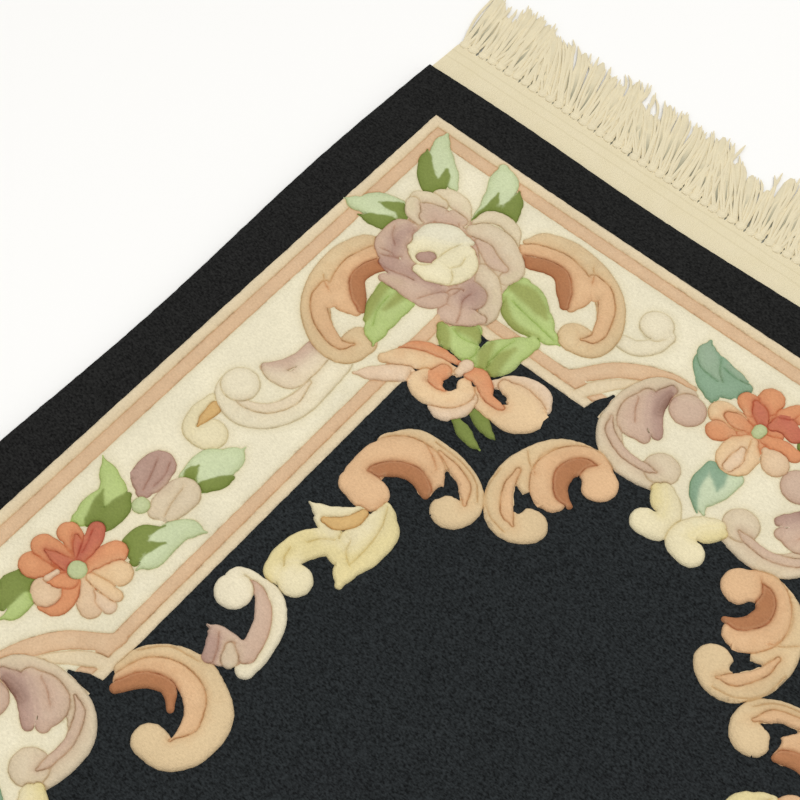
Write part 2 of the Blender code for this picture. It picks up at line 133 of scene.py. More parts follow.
# Yarns that lie as flat ground, with no carved line where a stroke of them crosses the same yarn
GROUNDS = ("black", "field", "cream", "light", "stripe")
DARKS = ("black", "field")

# Pairs of yarns whose knots mingle where they meet: the share of it, over how many millimetres, and whether
# the shears have carved a line there as well
MINGLING = (
    # yarn, yarn, share, width, carved
    ("pale_leaf", "dark_leaf", 0.5, 0.6, False),
    ("bright_leaf", "mid_leaf", 0.5, 1.2, False),
    ("bright_leaf", "dark_leaf", 0.5, 0.8, False),
    ("heart_grey", "heart", 0.5, 2.5, False),
    ("yellow", "yellow_pale", 0.5, 4.0, False),
    ("teal", "teal_light", 0.5, 1.0, False),
    ("teal", "teal_pale", 0.5, 1.0, False),
    ("tan_orange", "brown", 0.4, 2.0, True),
    ("mauve", "mauve_dark", 0.5, 3.0, False),
    ("tan", "tan_orange", 0.3, 3.5, True),
    ("tan", "brown", 0.3, 2.5, True),
    ("greige", "mauve_light", 0.35, 4.0, True),
    ("greige", "mauve", 0.3, 3.0, True),
    ("mauve_light", "mauve", 0.5, 3.0, False),
    ("mauve_pale", "mauve_light", 0.45, 3.0, False),
    ("mauve_pale", "greige_pale", 0.35, 3.5, True),
    ("tan_cream", "greige", 0.3, 3.5, True),
    ("tan_cream", "mauve_light", 0.35, 4.0, True),
    ("orange", "coral", 0.35, 3.0, True),
    ("orange", "peach", 0.35, 3.0, True),
    ("peach", "peach_pale", 0.35, 3.5, True),
    ("peach", "pink", 0.35, 3.5, True),
    ("peach_pale", "pink", 0.35, 3.5, True),
)

# The cartouche that breaks the inner stripes at the middle of each end and side: yarn, then points
CARTOUCHE_GROUND = (
    ("cream", (395, 188, 38), (457, 196, 38)),
    ("cream", (448, 225, 8), (457, 236, 8)),
)
CARTOUCHE_STRIPES = (
    ("stripe", (300, 188, 6.3), (308, 184, 7), (329, 158, 8), (350, 143, 8), (372, 132, 6), (392, 128, 3)),
    ("light", (320, 199, 4.8), (329, 181, 6.5), (343, 164, 5), (358, 152, 4), (372, 142, 2)),
    ("field", (340, 212, 8), (341, 196, 6), (345, 178, 1.5)),
)

# The motifs: each row is a stroke's yarn and its points, u, v and half width in millimetres
ROSE_LEAVES = (
    ("pale_leaf", (82, 92, 11), (92, 96, 8)),
    ("+pale_leaf", (63, 53, 2), (67, 66, 8), (78, 80, 12), (92, 88, 10), (104, 95, 5), (111, 99, 1)),
    ("dark_leaf", (61, 79, 1), (68, 91, 6.5), (79, 103, 8), (89, 109, 9), (94, 113, 6)),
    ("+dark_leaf", (90, 87, 2), (95, 96, 5), (96, 108, 7)),
    ("pale_leaf", (126, 49, 5), (137, 63, 14), (143, 80, 12), (142, 100, 5), (142, 118, 1)),
    ("dark_leaf", (153, 60, 1), (160, 74, 6.5), (162, 87, 9.5), (167, 94, 7)),
    ("dark_leaf", (141, 76, 1), (146, 90, 5), (144, 102, 3.5), (141, 114, 1)),
    ("+dark_leaf", (147, 92, 4), (158, 90, 8)),
    ("pale_leaf", (74, 163, 8), (90, 158, 8)),
    ("+pale_leaf", (40, 171, 0.5), (54, 168, 8), (68, 157, 14), (80, 150, 11), (88, 146, 6)),
    ("dark_leaf", (68, 156, 0.8), (79, 152, 5), (87, 148, 7), (93, 153, 5)),
    ("dark_leaf", (62, 177, 1), (76, 173, 5.5), (90, 167, 8)),
)
ROSE_LOWER_LEAVES = (
    ("bright_leaf", (218, 139, 8), (231, 154, 21), (248, 162, 17), (265, 167, 9), (281, 168, 0.5)),
    ("mid_leaf", (216, 147, 6), (230, 146, 9), (244, 150, 7), (256, 155, 2)),
    ("mid_leaf", (216, 160, 1), (224, 171, 4), (240, 178, 3), (262, 175, 1.5)),
    ("cut", (222, 159), (238, 162), (258, 165), (274, 168)),
    ("bright_leaf", (226, 224, 11), (240, 227, 10)),
    ("bright_leaf", (262, 182, 7), (255, 196, 12), (249, 212, 17.5), (249, 221, 12.5)),
    ("mid_leaf", (237, 206, 3), (238, 217, 6), (243, 227, 5)),
    ("mid_leaf", (255, 198, 2), (252, 212, 6), (254, 226, 6)),
    ("cut", (249, 190), (246, 206), (246, 220)),
    ("bright_leaf", (216, 205, 8), (214, 217, 15), (222, 225, 10.5)),
    ("+bright_leaf", (196, 221, 6), (206, 229, 7)),
    ("mid_leaf", (206, 211, 5), (216, 207, 7), (224, 210, 4)),
    ("mid_leaf", (192, 219, 4), (200, 226, 6), (209, 233, 3.5)),
    ("cut", (203, 216), (214, 218), (229, 214)),
    ("bright_leaf", (143, 221, 19), (146, 240, 16), (152, 258, 10.5), (162, 274, 1)),
    ("mid_leaf", (130, 222, 5), (133, 240, 5), (140, 257, 3)),
    ("mid_leaf", (147, 218, 5), (147, 230, 4), (146, 240, 2)),
    ("cut", (139, 226), (141, 243), (148, 258)),
)
ROSE = (
    ("mauve_light", (130, 150, 32), (150, 158, 42), (168, 170, 36)),
    ("greige", (178, 128, 14), (195, 148, 13), (200, 166, 12)),
    ("tan_cream", (104, 112, 8), (112, 107, 9), (124, 108, 9), (134, 115, 6), (142, 124, 2)),
    ("tan_cream", (91, 127, 9), (100, 122, 9), (110, 120, 7)),
    ("tan_cream", (90, 135, 7), (97, 143, 7), (108, 147, 4)),
    ("mauve_light", (97, 131, 2), (107, 131, 8), (117, 129, 9), (127, 126, 6), (137, 128, 1)),
    ("+mauve_light", (108, 139, 6), (116, 142, 4)),
    ("+mauve_light", (124, 120, 4), (136, 121, 5)),
    ("tan_cream", (146, 114, 4), (151, 101, 7), (163, 96, 7), (176, 99, 7), (187, 110, 4)),
    ("greige", (150, 122, 7), (162, 116, 11), (178, 117, 12), (194, 124, 10), (204, 132, 9), (204, 144, 7)),
    ("mauve_light", (160, 129, 3), (171, 131, 6.5), (184, 137, 7), (196, 137, 4)),
    ("greige", (182, 150, 6), (194, 158, 11), (206, 170, 11), (214, 182, 9), (216, 190, 6)),
    ("mauve_light", (186, 190, 12), (190, 203, 12), (203, 198, 10), (214, 192, 5)),
    ("mauve", (188, 172, 8), (197, 174, 8), (199, 183, 7), (190, 184, 8)),
    ("cut", (191, 177), (190, 187), (197, 200), (200, 208)),
    ("cut", (181, 181), (178, 196), (180, 210)),
    ("mauve_light", (108, 155, 4), (98, 162, 8), (96, 175, 7), (98, 187, 7), (107, 195, 6)),
    ("mauve", (107, 162, 5), (106, 172, 7), (110, 182, 7), (115, 190, 5)),
    ("cut", (95, 166), (99, 174), (108, 181)),
    ("cut", (101, 192), (112, 190), (122, 194)),
    ("mauve", (113, 200, 6), (122, 199, 9), (135, 197, 7), (151, 196, 5.5), (164, 194, 7)),
    ("cut", (105, 197), (113, 194), (121, 187)),
    ("cut", (110, 206), (122, 205), (138, 200), (156, 198), (168, 199)),
    ("mauve_light", (123, 214, 5), (135, 210, 8), (150, 208, 10), (163, 207, 10), (173, 202, 8),
     (175, 194, 4)),
    ("cut", (159, 212), (165, 201), (172, 190)),
    ("+mauve_light", (126, 180, 6), (131, 186, 4)),
    ("heart", (134, 166, 18), (148, 160, 24)),
    ("heart_grey", (120, 160, 7.5), (124, 148, 10), (137, 140, 11), (150, 137, 6.5), (157, 134, 3)),
    ("+heart", (120, 173, 4), (126, 165, 7), (137, 161, 6), (146, 165, 5)),
    ("mauve", (134, 175, 5.5), (139, 171, 6.5)),
    ("+heart", (160, 147, 9.5), (166, 158, 14), (164, 171, 13), (152, 183, 9), (140, 187, 5.5)),
    ("+heart", (152, 158, 7), (150, 172, 6)),
    ("cut", (151, 142), (147, 153), (145, 166), (144, 177), (136, 184)),
    ("cut", (163, 150), (165, 160), (160, 168)),
    ("cut", (171, 184), (169, 176), (164, 170)),
)
CORNER_SCROLL = (
    ("tan", (193, 100, 4), (206, 87, 9), (233, 83, 12), (262, 89, 13), (286, 103, 13),
     (303, 128, 12), (302, 150, 12), (285, 153, 15)),
    ("tan_orange", (194, 110, 6), (208, 101, 7), (232, 97, 9), (252, 104, 11), (264, 114, 9),
     (264, 130, 5)),
    ("+tan_orange", (262, 94, 6), (276, 98, 7), (289, 112, 7.5), (297, 130, 6.5), (299, 143, 4.5),
     (291, 151, 1)),
    ("+tan_orange", (263, 103, 9), (272, 106, 7), (277, 104, 3)),
    ("cut", (254, 84), (259, 90), (263, 98)),
    ("brown", (202, 116, 4), (209, 116, 7), (222, 110, 7), (237, 109, 7), (249, 120, 7), (259, 133, 4)),
)
BOW = (
    ("orange", (229, 238, 2), (213, 241, 5.5), (199, 244, 6), (188, 250.5, 5), (180, 260, 1.5)),
    ("peach", (231, 247, 5), (214, 253, 8), (200, 259, 9.5), (188, 266, 9.5), (176, 277, 5)),
    ("pink", (201, 276, 7.5), (190, 285, 8.5), (179, 295, 7), (167, 305, 1.5)),
    ("dark_leaf", (268, 269, 4.5), (279, 272, 6.5), (289, 276, 4), (296, 277, 0.8)),
    ("dark_leaf", (261, 284, 4), (272, 288, 6.5), (283, 292, 4.5), (293, 293, 0.8)),
    ("pink", (264, 234, 5), (274, 224, 8), (287, 218, 9), (299, 218, 9), (308, 226, 7)),
    ("peach", (271, 231, 6), (289, 233, 12), (303, 240, 15), (297, 250, 14.5), (280, 257, 9),
     (256, 255, 8)),
    ("field", (269, 244, 2.5), (276, 242.5, 4.5)),
    ("pink", (256, 261, 7.5), (256, 272, 9), (248, 284, 9), (239, 285, 6)),
    ("peach", (244, 252, 6.5), (250, 260, 8.5), (242, 273, 9.5), (225, 279, 10.5), (213, 276, 9),
     (214, 267, 7)),
    ("orange", (223, 254, 7), (221, 263, 7), (226, 266, 5.5), (234, 267, 3)),
    ("field", (233, 254, 3.5), (235, 261, 5.5)),
    ("orange", (242, 240, 7), (250, 238, 8), (259, 243, 7), (267, 249, 5), (277, 250, 4.5), (283, 250, 2)),
    ("pink", (234, 236, 6), (233, 246, 4)),
)
BAND_VOLUTE = (
    ("greige_pale", (344, 100, 8), (342, 114, 8), (331, 127, 8), (312, 130, 7)),
    ("+greige_pale", (331, 96, 15)),
    ("cut", (345, 104), (339, 111), (329, 112), (320, 107)),
)
CARTOUCHE_SCROLL = (
    ("greige", (392, 141, 12), (372, 148, 14), (361, 168, 13), (358, 190, 11), (363, 209, 11),
     (378, 223, 11),
     (400, 225, 11), (418, 220, 12)),
    ("greige", (417, 210, 15.5)),
    ("mauve_light", (374, 162, 9), (376, 182, 11)),
    ("+mauve_light", (368, 160, 8), (366, 178, 11), (372, 190, 12), (388, 195, 6)),
    ("cut", (362, 166), (367, 178), (374, 188)),
    ("mauve", (379, 142, 5), (377, 156, 8), (382, 170, 7), (391, 182, 6.5), (395, 186, 5)),
    ("mauve_light", (400.5, 149, 16)),
    ("mauve_dark", (381, 147, 2), (382, 158, 3.5), (384, 168, 2.5)),
    ("mauve_light", (356, 196, 1), (364, 209, 4), (384, 218, 4.5), (405, 218, 4), (415, 216, 1)),
)
CENTRE_LEAVES = (
    ("teal", (375, 78, 1.5), (381, 92, 9), (389, 101, 14), (401, 105, 18), (413, 104, 15), (424, 99, 7)),
    ("+teal", (397, 112, 12), (405, 120, 8), (410, 128, 2)),
    ("+teal", (384, 92, 9), (396, 98, 13), (410, 99, 11)),
    ("teal_light", (375, 79, 1.5), (379, 91, 8), (387, 98, 9), (397, 103, 5), (406, 107, 1)),
    ("teal_light", (402, 90, 3), (414, 91.5, 3.5), (424, 94, 1.5)),
    ("cut", (392, 87), (399, 100), (407, 107)),
    ("cut", (400, 94), (411, 96), (425, 94)),
    ("cut", (373, 97), (381, 105), (391, 108), (403, 109)),
    ("teal_pale", (467, 178, 8), (466, 196, 7), (460, 206, 9), (459, 215, 6), (467, 222, 1.5)),
    ("+teal_pale", (455, 190, 8), (455, 204, 8)),
    ("teal", (446, 180, 5), (445, 198, 5), (449, 210, 4), (456, 219, 2), (462, 224, 0.8)),
    ("+teal", (452, 182, 9), (459, 189, 5.5), (463, 198, 1)),
    ("dark_leaf", (496, 112, 9), (508, 124, 7), (516, 134, 1)),
)
CENTRE_FLOWER = (
    ("orange", (457, 116, 19), (457, 128, 21)),
    ("orange", (448, 100, 11), (448, 93, 11.5)),
    ("orange", (466, 100, 8), (473, 91, 10)),
    ("orange", (440, 113, 7.5), (434, 108, 9.5)),
    ("coral", (440, 105, 3), (448, 111, 7), (455, 118, 5)),
    ("coral", (463, 116, 4), (470, 107, 9), (482, 110, 8)),
    ("cut", (464, 104), (472, 99), (474, 91)),
    ("orange", (466, 130, 5), (481, 127, 8), (492, 127, 7)),
    ("peach", (446, 131, 5), (434, 131, 11), (424, 132, 12.5)),
    ("orange", (448, 130, 5), (438, 130.5, 7.5), (430, 131, 4.5)),
    ("orange", (440, 145, 6), (430, 149, 10)),
    ("peach_pale", (472, 139, 4), (485, 144, 12)),
    ("peach", (457, 143, 9), (457, 156, 17), (457, 162, 16.5)),
    ("pink", (457, 151, 3), (458, 162, 6), (457, 172, 5)),
    ("cut", (457, 138), (461, 150), (464, 164)),
    ("eye", (457.5, 125, 6), (457.5, 129, 5.5)),
)
CENTRE_SHOOTS = (
    ("yellow_pale", (431, 225, 8), (442, 234, 9.5), (447, 246, 11), (446, 257, 11), (434, 258, 12.5)),
    ("yellow", (425, 227, 5.5), (432, 236, 6.5), (442, 246, 1)),
)
FIELD_SCROLL = (
    ("tan", (386, 252, 14), (366, 244, 14.5), (346, 258, 19), (335, 282, 19), (330, 306, 14),
     (340, 330, 11), (357, 336, 10), (366, 323, 16)),
    ("tan_orange", (386, 253, 14.5), (368, 243, 12.5), (352, 256, 12), (350, 274, 14), (358, 289, 13.5),
     (366, 291, 12)),
    ("cut", (340, 250), (335, 264), (338, 280)),
    ("cut", (323, 268), (332, 277), (342, 282)),
    ("brown", (380, 243, 2), (365, 252, 8), (360, 266, 8), (368, 282, 6), (380, 287, 3)),
    ("tan_orange", (329, 288, 2), (333, 306, 4.5), (345, 324, 5.5), (357, 332, 1)),
    ("+tan_orange", (386, 255, 16.5)),
    ("field", (371, 264, 4), (375, 273, 5.5), (385, 279, 6), (394, 283, 6)),
    ("field", (337, 301, 1), (344, 307, 4), (350, 313, 5), (352, 318, 2)),
    ("cut", (317, 296), (321, 320), (336, 336), (355, 341)),
)
FIELD_SCROLL_LEFT = (
    ("tan", (236, 338, 13), (251, 325, 16), (275, 321, 14), (298, 321, 10), (316, 332, 10),
     (322, 347, 9), (314, 358, 11), (308, 355, 14)),
    ("tan_orange", (236, 376, 15), (236, 352, 15), (247, 338, 16), (264, 333, 15), (279, 338, 12),
     (283, 350, 8)),
    ("cut", (256, 318), (268, 324), (278, 331)),
    ("brown", (240, 378, 1.5), (243, 364, 6), (254, 352, 7), (268, 347, 7), (281, 351, 6), (286, 355, 4)),
    ("tan_orange", (270, 317, 1.5), (290, 322, 4.5), (305, 329, 5.5), (316, 342, 1.5)),
    ("+tan_orange", (236, 383, 14), (252, 384, 16)),
    ("field", (287, 328, 2), (297, 335, 5.5), (305, 340, 2)),
    ("field", (294, 344, 4.5), (291, 356, 1.5)),
    ("cut", (262, 312), (290, 313), (310, 320), (322, 333)),
)
FIELD_ACANTHUS = (
    ("yellow", (270, 384, 4), (277, 391, 7), (284, 406, 12.5), (284, 428, 12.5), (281, 447, 10),
     (286, 462, 3.5)),
    ("+yellow", (270, 440, 11), (257, 437, 12), (244, 451, 13.5), (239, 468, 12.5), (242, 482, 13)),
    ("yellow_pale", (269, 388, 3), (270, 408, 9), (267, 426, 9)),
    ("+yellow_pale", (257, 404, 7), (245, 416, 8.5), (234, 421, 7), (220, 421, 1)),
    ("+yellow_pale", (236, 427, 5), (251, 431, 8)),
    ("amber", (260, 401, 4), (258, 412, 6), (250, 422, 6), (240, 426, 3)),
    ("yellow_pale", (257, 481, 14.5)),
    ("cut", (271, 384), (279, 402), (282, 425), (281, 442)),
    ("cut", (268, 427), (272, 437), (281, 444)),
    ("cut", (258, 434), (249, 441), (243, 450)),
    ("cut", (236, 462), (238, 472), (243, 478)),
)
FIELD_MAUVE = (
    ("greige_pale", (225, 510, 13), (240, 503, 8), (257, 507, 10), (269, 522, 11), (276, 545, 10),
     (278, 562, 8)),
    ("mauve_light", (226, 505, 1.5), (243, 507, 4.5), (258, 519, 7), (267, 536, 8), (271, 552, 8)),
    ("+mauve_light", (270, 553, 8), (255, 553, 8), (243, 552, 6), (231, 553, 1)),
    ("+mauve_light", (262, 560, 10), (253, 566, 10)),
    ("mauve", (236, 556, 1.5), (245, 562, 6), (250, 572, 6)),
    ("greige", (257, 556, 4), (264, 564, 7)),
    ("cut", (242, 552), (250, 562), (256, 574)),
    ("+greige_pale", (227, 519, 15.5)),
)
FIELD_PEACH = (
    ("tan", (208, 622, 7), (214, 602, 9), (236, 587, 10), (262, 588, 12), (286, 606, 15), (291, 632, 13),
     (280, 650, 12), (262, 650, 14)),
    ("tan_orange", (214, 628, 8), (222, 608, 8), (240, 598, 8), (262, 602, 9), (276, 620, 7),
     (274, 640, 1)),
    ("brown", (214, 636, 5), (226, 618, 6.5), (244, 611, 6), (257, 622, 3)),
    ("cut", (206, 604), (222, 586), (248, 580)),
)
BAND_SCROLL = (
    ("greige_pale", (151, 306, 12), (154, 332, 11), (153, 360, 12), (142, 384, 12), (122, 396, 12),
     (102, 389, 12), (104, 378, 16)),
    ("mauve_pale", (136, 306, 7), (136, 330, 8), (133, 345, 9), (120, 351, 7), (107, 352, 3)),
    ("mauve_light", (124, 306, 6), (123, 326, 6), (117, 341, 6), (107, 350, 3.5)),
    ("mauve_pale", (146, 338, 2), (147, 360, 5), (137, 379, 5), (120, 388, 4), (106, 388, 1)),
    ("greige_pale", (104, 377, 16.5)),
)
BAND_BUD = (
    ("yellow_pale", (99, 404, 8), (98, 420, 9), (105, 434, 10), (118, 429, 15)),
    ("amber", (104, 407, 6), (104, 419, 4.5), (105, 430, 1)),
)
SPRAY_LEAVES = (
    ("pale_leaf", (148, 418, 0.5), (146, 437, 12), (140, 452, 18), (139, 462, 16), (136, 468, 12)),
    ("dark_leaf", (159, 446, 2), (155, 457, 5.5), (147, 469, 5)),
    ("+dark_leaf", (132, 457, 1), (132, 466, 5.5), (136, 473, 6)),
    ("bright_leaf", (66, 501, 0.5), (84, 511, 8), (97, 521, 12), (98, 538, 15), (94, 551, 8), (91, 560, 2)),
    ("dark_leaf", (107, 513, 3), (111, 528, 9), (108, 543, 10.5), (102, 549, 6)),
    ("+dark_leaf", (90, 524, 1), (96, 536, 5), (101, 545, 6)),
    ("dark_leaf", (151, 516, 4), (148, 530, 7), (150, 544, 6)),
    ("pale_leaf", (177, 496, 1), (163, 504, 9), (157, 520, 12), (161, 538, 9), (158, 556, 1)),
    ("+dark_leaf", (149, 514, 1), (139, 530, 7), (139, 542, 8)),
    ("+dark_leaf", (160, 525, 1), (151, 539, 5.5), (152, 552, 4)),
    ("+dark_leaf", (139, 542, 7), (148, 546, 7)),
    ("dark_leaf", (98, 618, 10), (98, 632, 14), (103, 647, 3)),
    ("bright_leaf", (113, 629, 6), (113, 643, 6), (108, 655, 1)),
)
SPRAY_BUDS = (
    ("mauve", (107, 478, 14.5), (108, 488, 16), (114, 502, 7)),
    ("cut", (102, 474), (107, 485), (113, 502)),
    ("cut", (112, 470), (117, 482), (117, 494)),
    ("greige", (139, 484, 15.5), (138, 497, 15), (134, 509, 7)),
    ("cut", (136, 480), (138, 494), (142, 507)),
    ("eye", (121, 513, 7.5)),
)
SPRAY_FLOWER = (
    ("orange", (118, 584, 19), (130, 588, 17)),
    ("orange", (135, 556, 10.5), (130, 566, 8.5), (130, 576, 7.5)),
    ("peach", (137, 579, 4), (146, 571, 9), (150, 567, 11.5)),
    ("orange", (112, 577, 3), (101, 569, 9), (95, 568, 9.5)),
    ("cut", (98, 567), (105, 574), (112, 579)),
    ("coral", (102, 566, 1.5), (109, 571, 4.5), (117, 578, 4)),
    ("coral", (110, 552, 7.5), (114, 559, 8), (117, 568, 6), (119, 577, 4)),
    ("cut", (108, 554), (112, 563), (116, 573)),
    ("orange", (108, 603, 6), (96, 606, 11), (93, 606, 11)),
    ("orange", (110, 588, 8), (96, 588, 10), (88, 589, 10)),
    ("coral", (116, 588, 6), (104, 590, 4.5), (93, 591, 1)),
    ("peach_pale", (134, 590, 6), (146, 599, 9), (154, 602, 9.5)),
    ("pink", (147, 590, 1), (158, 592, 6), (164, 592, 6.5)),
    ("peach", (136, 584, 4), (149, 583, 5.5), (162, 582, 5.5)),
    ("orange", (128, 598, 8), (134, 608, 8.5), (134, 619, 8), (125, 626, 4)),
    ("peach_pale", (114, 615, 9), (119, 616, 12.5)),
    ("orange", (126, 597, 7), (120, 602, 6.5), (114, 608, 2)),
    ("pink", (113, 598, 2.5), (111, 607, 3)),
    ("eye", (123.5, 586.5, 8)),
)


# How far the whole chart stands from where it was first drawn, and the side's corner scroll from its twin's
CHART_SHIFT = 0.9
TWIN_SHIFT = (-1.1, -7.0)


def as_drawn(u, v):
    """The quarter as it is charted."""
    return u + CHART_SHIFT, v


def on_the_side(u, v):
    """The end's cartouche turned over the corner's diagonal to the middle of a long side."""
    return v + CHART_SHIFT, u + SIDE_SHIFT


def corner_swapped(u, v):
    """The corner scroll's twin, which runs down the side."""
    return v + TWIN_SHIFT[0], u + TWIN_SHIFT[1]


# The cream behind the middle of each end and each side, under all quarters
UNDER_QUARTERS = (
    (CARTOUCHE_GROUND, as_drawn),
    (CARTOUCHE_GROUND, on_the_side),
)

# The motifs of one quarter in the order that they lie on each other, with the ways each is placed
QUARTER = (
    (CARTOUCHE_STRIPES, as_drawn, on_the_side),
    (BAND_VOLUTE, as_drawn),
    (BAND_BUD, as_drawn),
    (BAND_SCROLL, as_drawn),
    (CORNER_SCROLL, corner_swapped, as_drawn),
    (ROSE_LEAVES, as_drawn),
    (ROSE_LOWER_LEAVES, as_drawn),
    (ROSE, as_drawn),
    (BOW, as_drawn),
    (CARTOUCHE_SCROLL, as_drawn, on_the_side),
    (CENTRE_SHOOTS, as_drawn, on_the_side),
    (FIELD_SCROLL_LEFT, as_drawn),
    (FIELD_SCROLL, as_drawn),
    (FIELD_PEACH, as_drawn),
    (FIELD_MAUVE, as_drawn),
    (FIELD_ACANTHUS, as_drawn),
    (SPRAY_LEAVES, as_drawn),
    (SPRAY_BUDS, as_drawn),
    (SPRAY_FLOWER, as_drawn),
)

# What stands once at the middle of each end and each side, over the quarters
CENTRES = (
    (CENTRE_LEAVES, as_drawn, on_the_side),
    (CENTRE_FLOWER, as_drawn, on_the_side),
)


def linear(colour):
    """An sRGB hex colour as linear red, green and blue."""
    parts = [int(colour[i:i + 2], 16) / 255 for i in (0, 2, 4)]
    return [part / 12.92 if part <= 0.04045 else ((part + 0.055) / 1.055) ** 2.4 for part in parts]


class RUG_PG_sizes(bpy.types.PropertyGroup):
    """The sizes that shape the pile, its carving and the fringe."""

    def size(name, description, millimetres):
        return bpy.props.FloatProperty(
            name=name, description=description, default=millimetres * MM, min=0,
            subtype="DISTANCE", unit="LENGTH",
        )

    dark_top: size("Dark pile", "Height of the black pile over the floor", 10.0)
    ground_top: size("Ground pile", "Height of the cream ground and the stripes", 11.0)
    motif_top: size("Motif pile", "Height of the flowers, leaves and scrolls at their carved edges", 12.4)
    edge_top: size("Edge of pile", "Height of the pile at the rug's edge", 9.0)
    groove_depth: size("Carving depth", "Depth of a carved line between two motifs", 1.5)
    groove_reach: size("Carving reach", "How far the shears round the pile beside a line", 1.2)
    crown: size("Crown", "How much a motif rises from its edge to its middle", 1.4)
    uneven: size("Unevenness", "How much the cut pile rises and falls", 0.35)
    outline_step: size("Outline step", "Distance between points along an outline", 2.2)
    fill_step: size("Fill step", "Distance between points in plain pile", 9.0)
    weave_top: size("Flat weave", "Thickness of the flat-woven ends", 3.0)
    cord: size("Edge cord", "Thickness of the overcast cord along each side", 5.6)
    strand: size("Strand", "Thickness of a warp end in the fringe", 2.5)
    reach: size("Fringe reach", "How far the longest strands lie beyond the pile", 131.0)
    del size


class RUG_PG_yarns(bpy.types.PropertyGroup):
    """The colours of the dyed wool and the undyed cotton."""

    __annotations__ = {
        name: bpy.props.FloatVectorProperty(
            name=name, description=description, default=linear(colour), size=3, min=0, max=1, subtype="COLOR"
        )
        for name, colour, description in YARNS + (("cotton", COTTON, "The flat ends and the fringe"),)
    }


def wandered(points):
    """Where points of the pattern, u and v in millimetres, lie in X and Y, in metres."""
    across, along = points[:, 0] / PILE_WIDTH - 0.5, points[:, 1] / PILE_LENGTH - 0.5
    x = points[:, 0] - PILE_WIDTH / 2
    x = x + WANDER * np.sin(2 * math.pi * WAVES_ALONG * along + 0.4) * np.cos(WANDER_FADE * across)
    y = PILE_LENGTH / 2 - points[:, 1]
    y = y + WANDER * np.sin(2 * math.pi * WAVES_ACROSS * across + 1.1) * np.cos(WANDER_FADE * along)
    border = BORDERS[1][0]
    by_side = (1 - (PILE_WIDTH / 2 - abs(across) * PILE_WIDTH) / border).clip(0, 1)
    by_end = (1 - (PILE_LENGTH / 2 - abs(along) * PILE_LENGTH) / border).clip(0, 1)
    side_out, side_wave, side_from, side_length = SIDE_EDGE
    end_out, end_wave, end_from, end_length = END_EDGE
    wave = np.cos(2 * math.pi * (points[:, 1] - side_from) / side_length)
    x = x + np.sign(across) * by_side * (side_out + side_wave * wave)
    wave = np.cos(2 * math.pi * (points[:, 0] - end_from) / end_length)
    y = y - np.sign(along) * by_end * (end_out + end_wave * wave)
    return np.column_stack([x, y]) * MM


# So many waves that cross each other make an uneven surface
RIPPLES = 9


def rippled(points, wave, seed):
    """A smooth uneven value from about -1 to 1 at each point, its waves about so many millimetres long."""
    chance = np.random.default_rng(seed)
    total = np.zeros(len(points))
    for _ in range(RIPPLES):
        turn, phase = chance.uniform(0, 2 * math.pi, 2)
        pull = 2 * math.pi / (wave * chance.uniform(0.7, 1.5))
        total += np.sin(pull * (points[:, 0] * math.cos(turn) + points[:, 1] * math.sin(turn)) + phase)
    return total / 4


# The chart


# A stroke of this name only draws the shears' line across the pile under it
CUT = "cut"
# This mark before a yarn's name leaves out the line between the stroke and its own yarn under it
JOINED = "+"


def smooth_line(rows, step):
    """Points about a step apart along the smooth line through a stroke's rows; one row is a round spot."""
    rows = np.array(rows, float)
    if len(rows) == 1:
        rows = np.vstack([rows - (0.2, 0, 0), rows + (0.2, 0, 0)])
    ends = np.vstack([2 * rows[0] - rows[1], rows, 2 * rows[-1] - rows[-2]])
    pieces = []
    for before, a, b, after in zip(ends, ends[1:], ends[2:], ends[3:]):
        count = max(2, round(np.linalg.norm(b[:2] - a[:2]) / step))
        t = (np.arange(count) / count)[:, None]
        bend = (b - before) * t + (2 * before - 5 * a + 4 * b - after) * t**2
        point = a + 0.5 * (bend + (3 * a - before - 3 * b + after) * t**3)
        point[:, 2] = a[2] + (b[2] - a[2]) * (3 * t[:, 0] ** 2 - 2 * t[:, 0] ** 3)
        pieces.append(point)
    pieces.append(rows[-1:])
    return np.vstack(pieces)


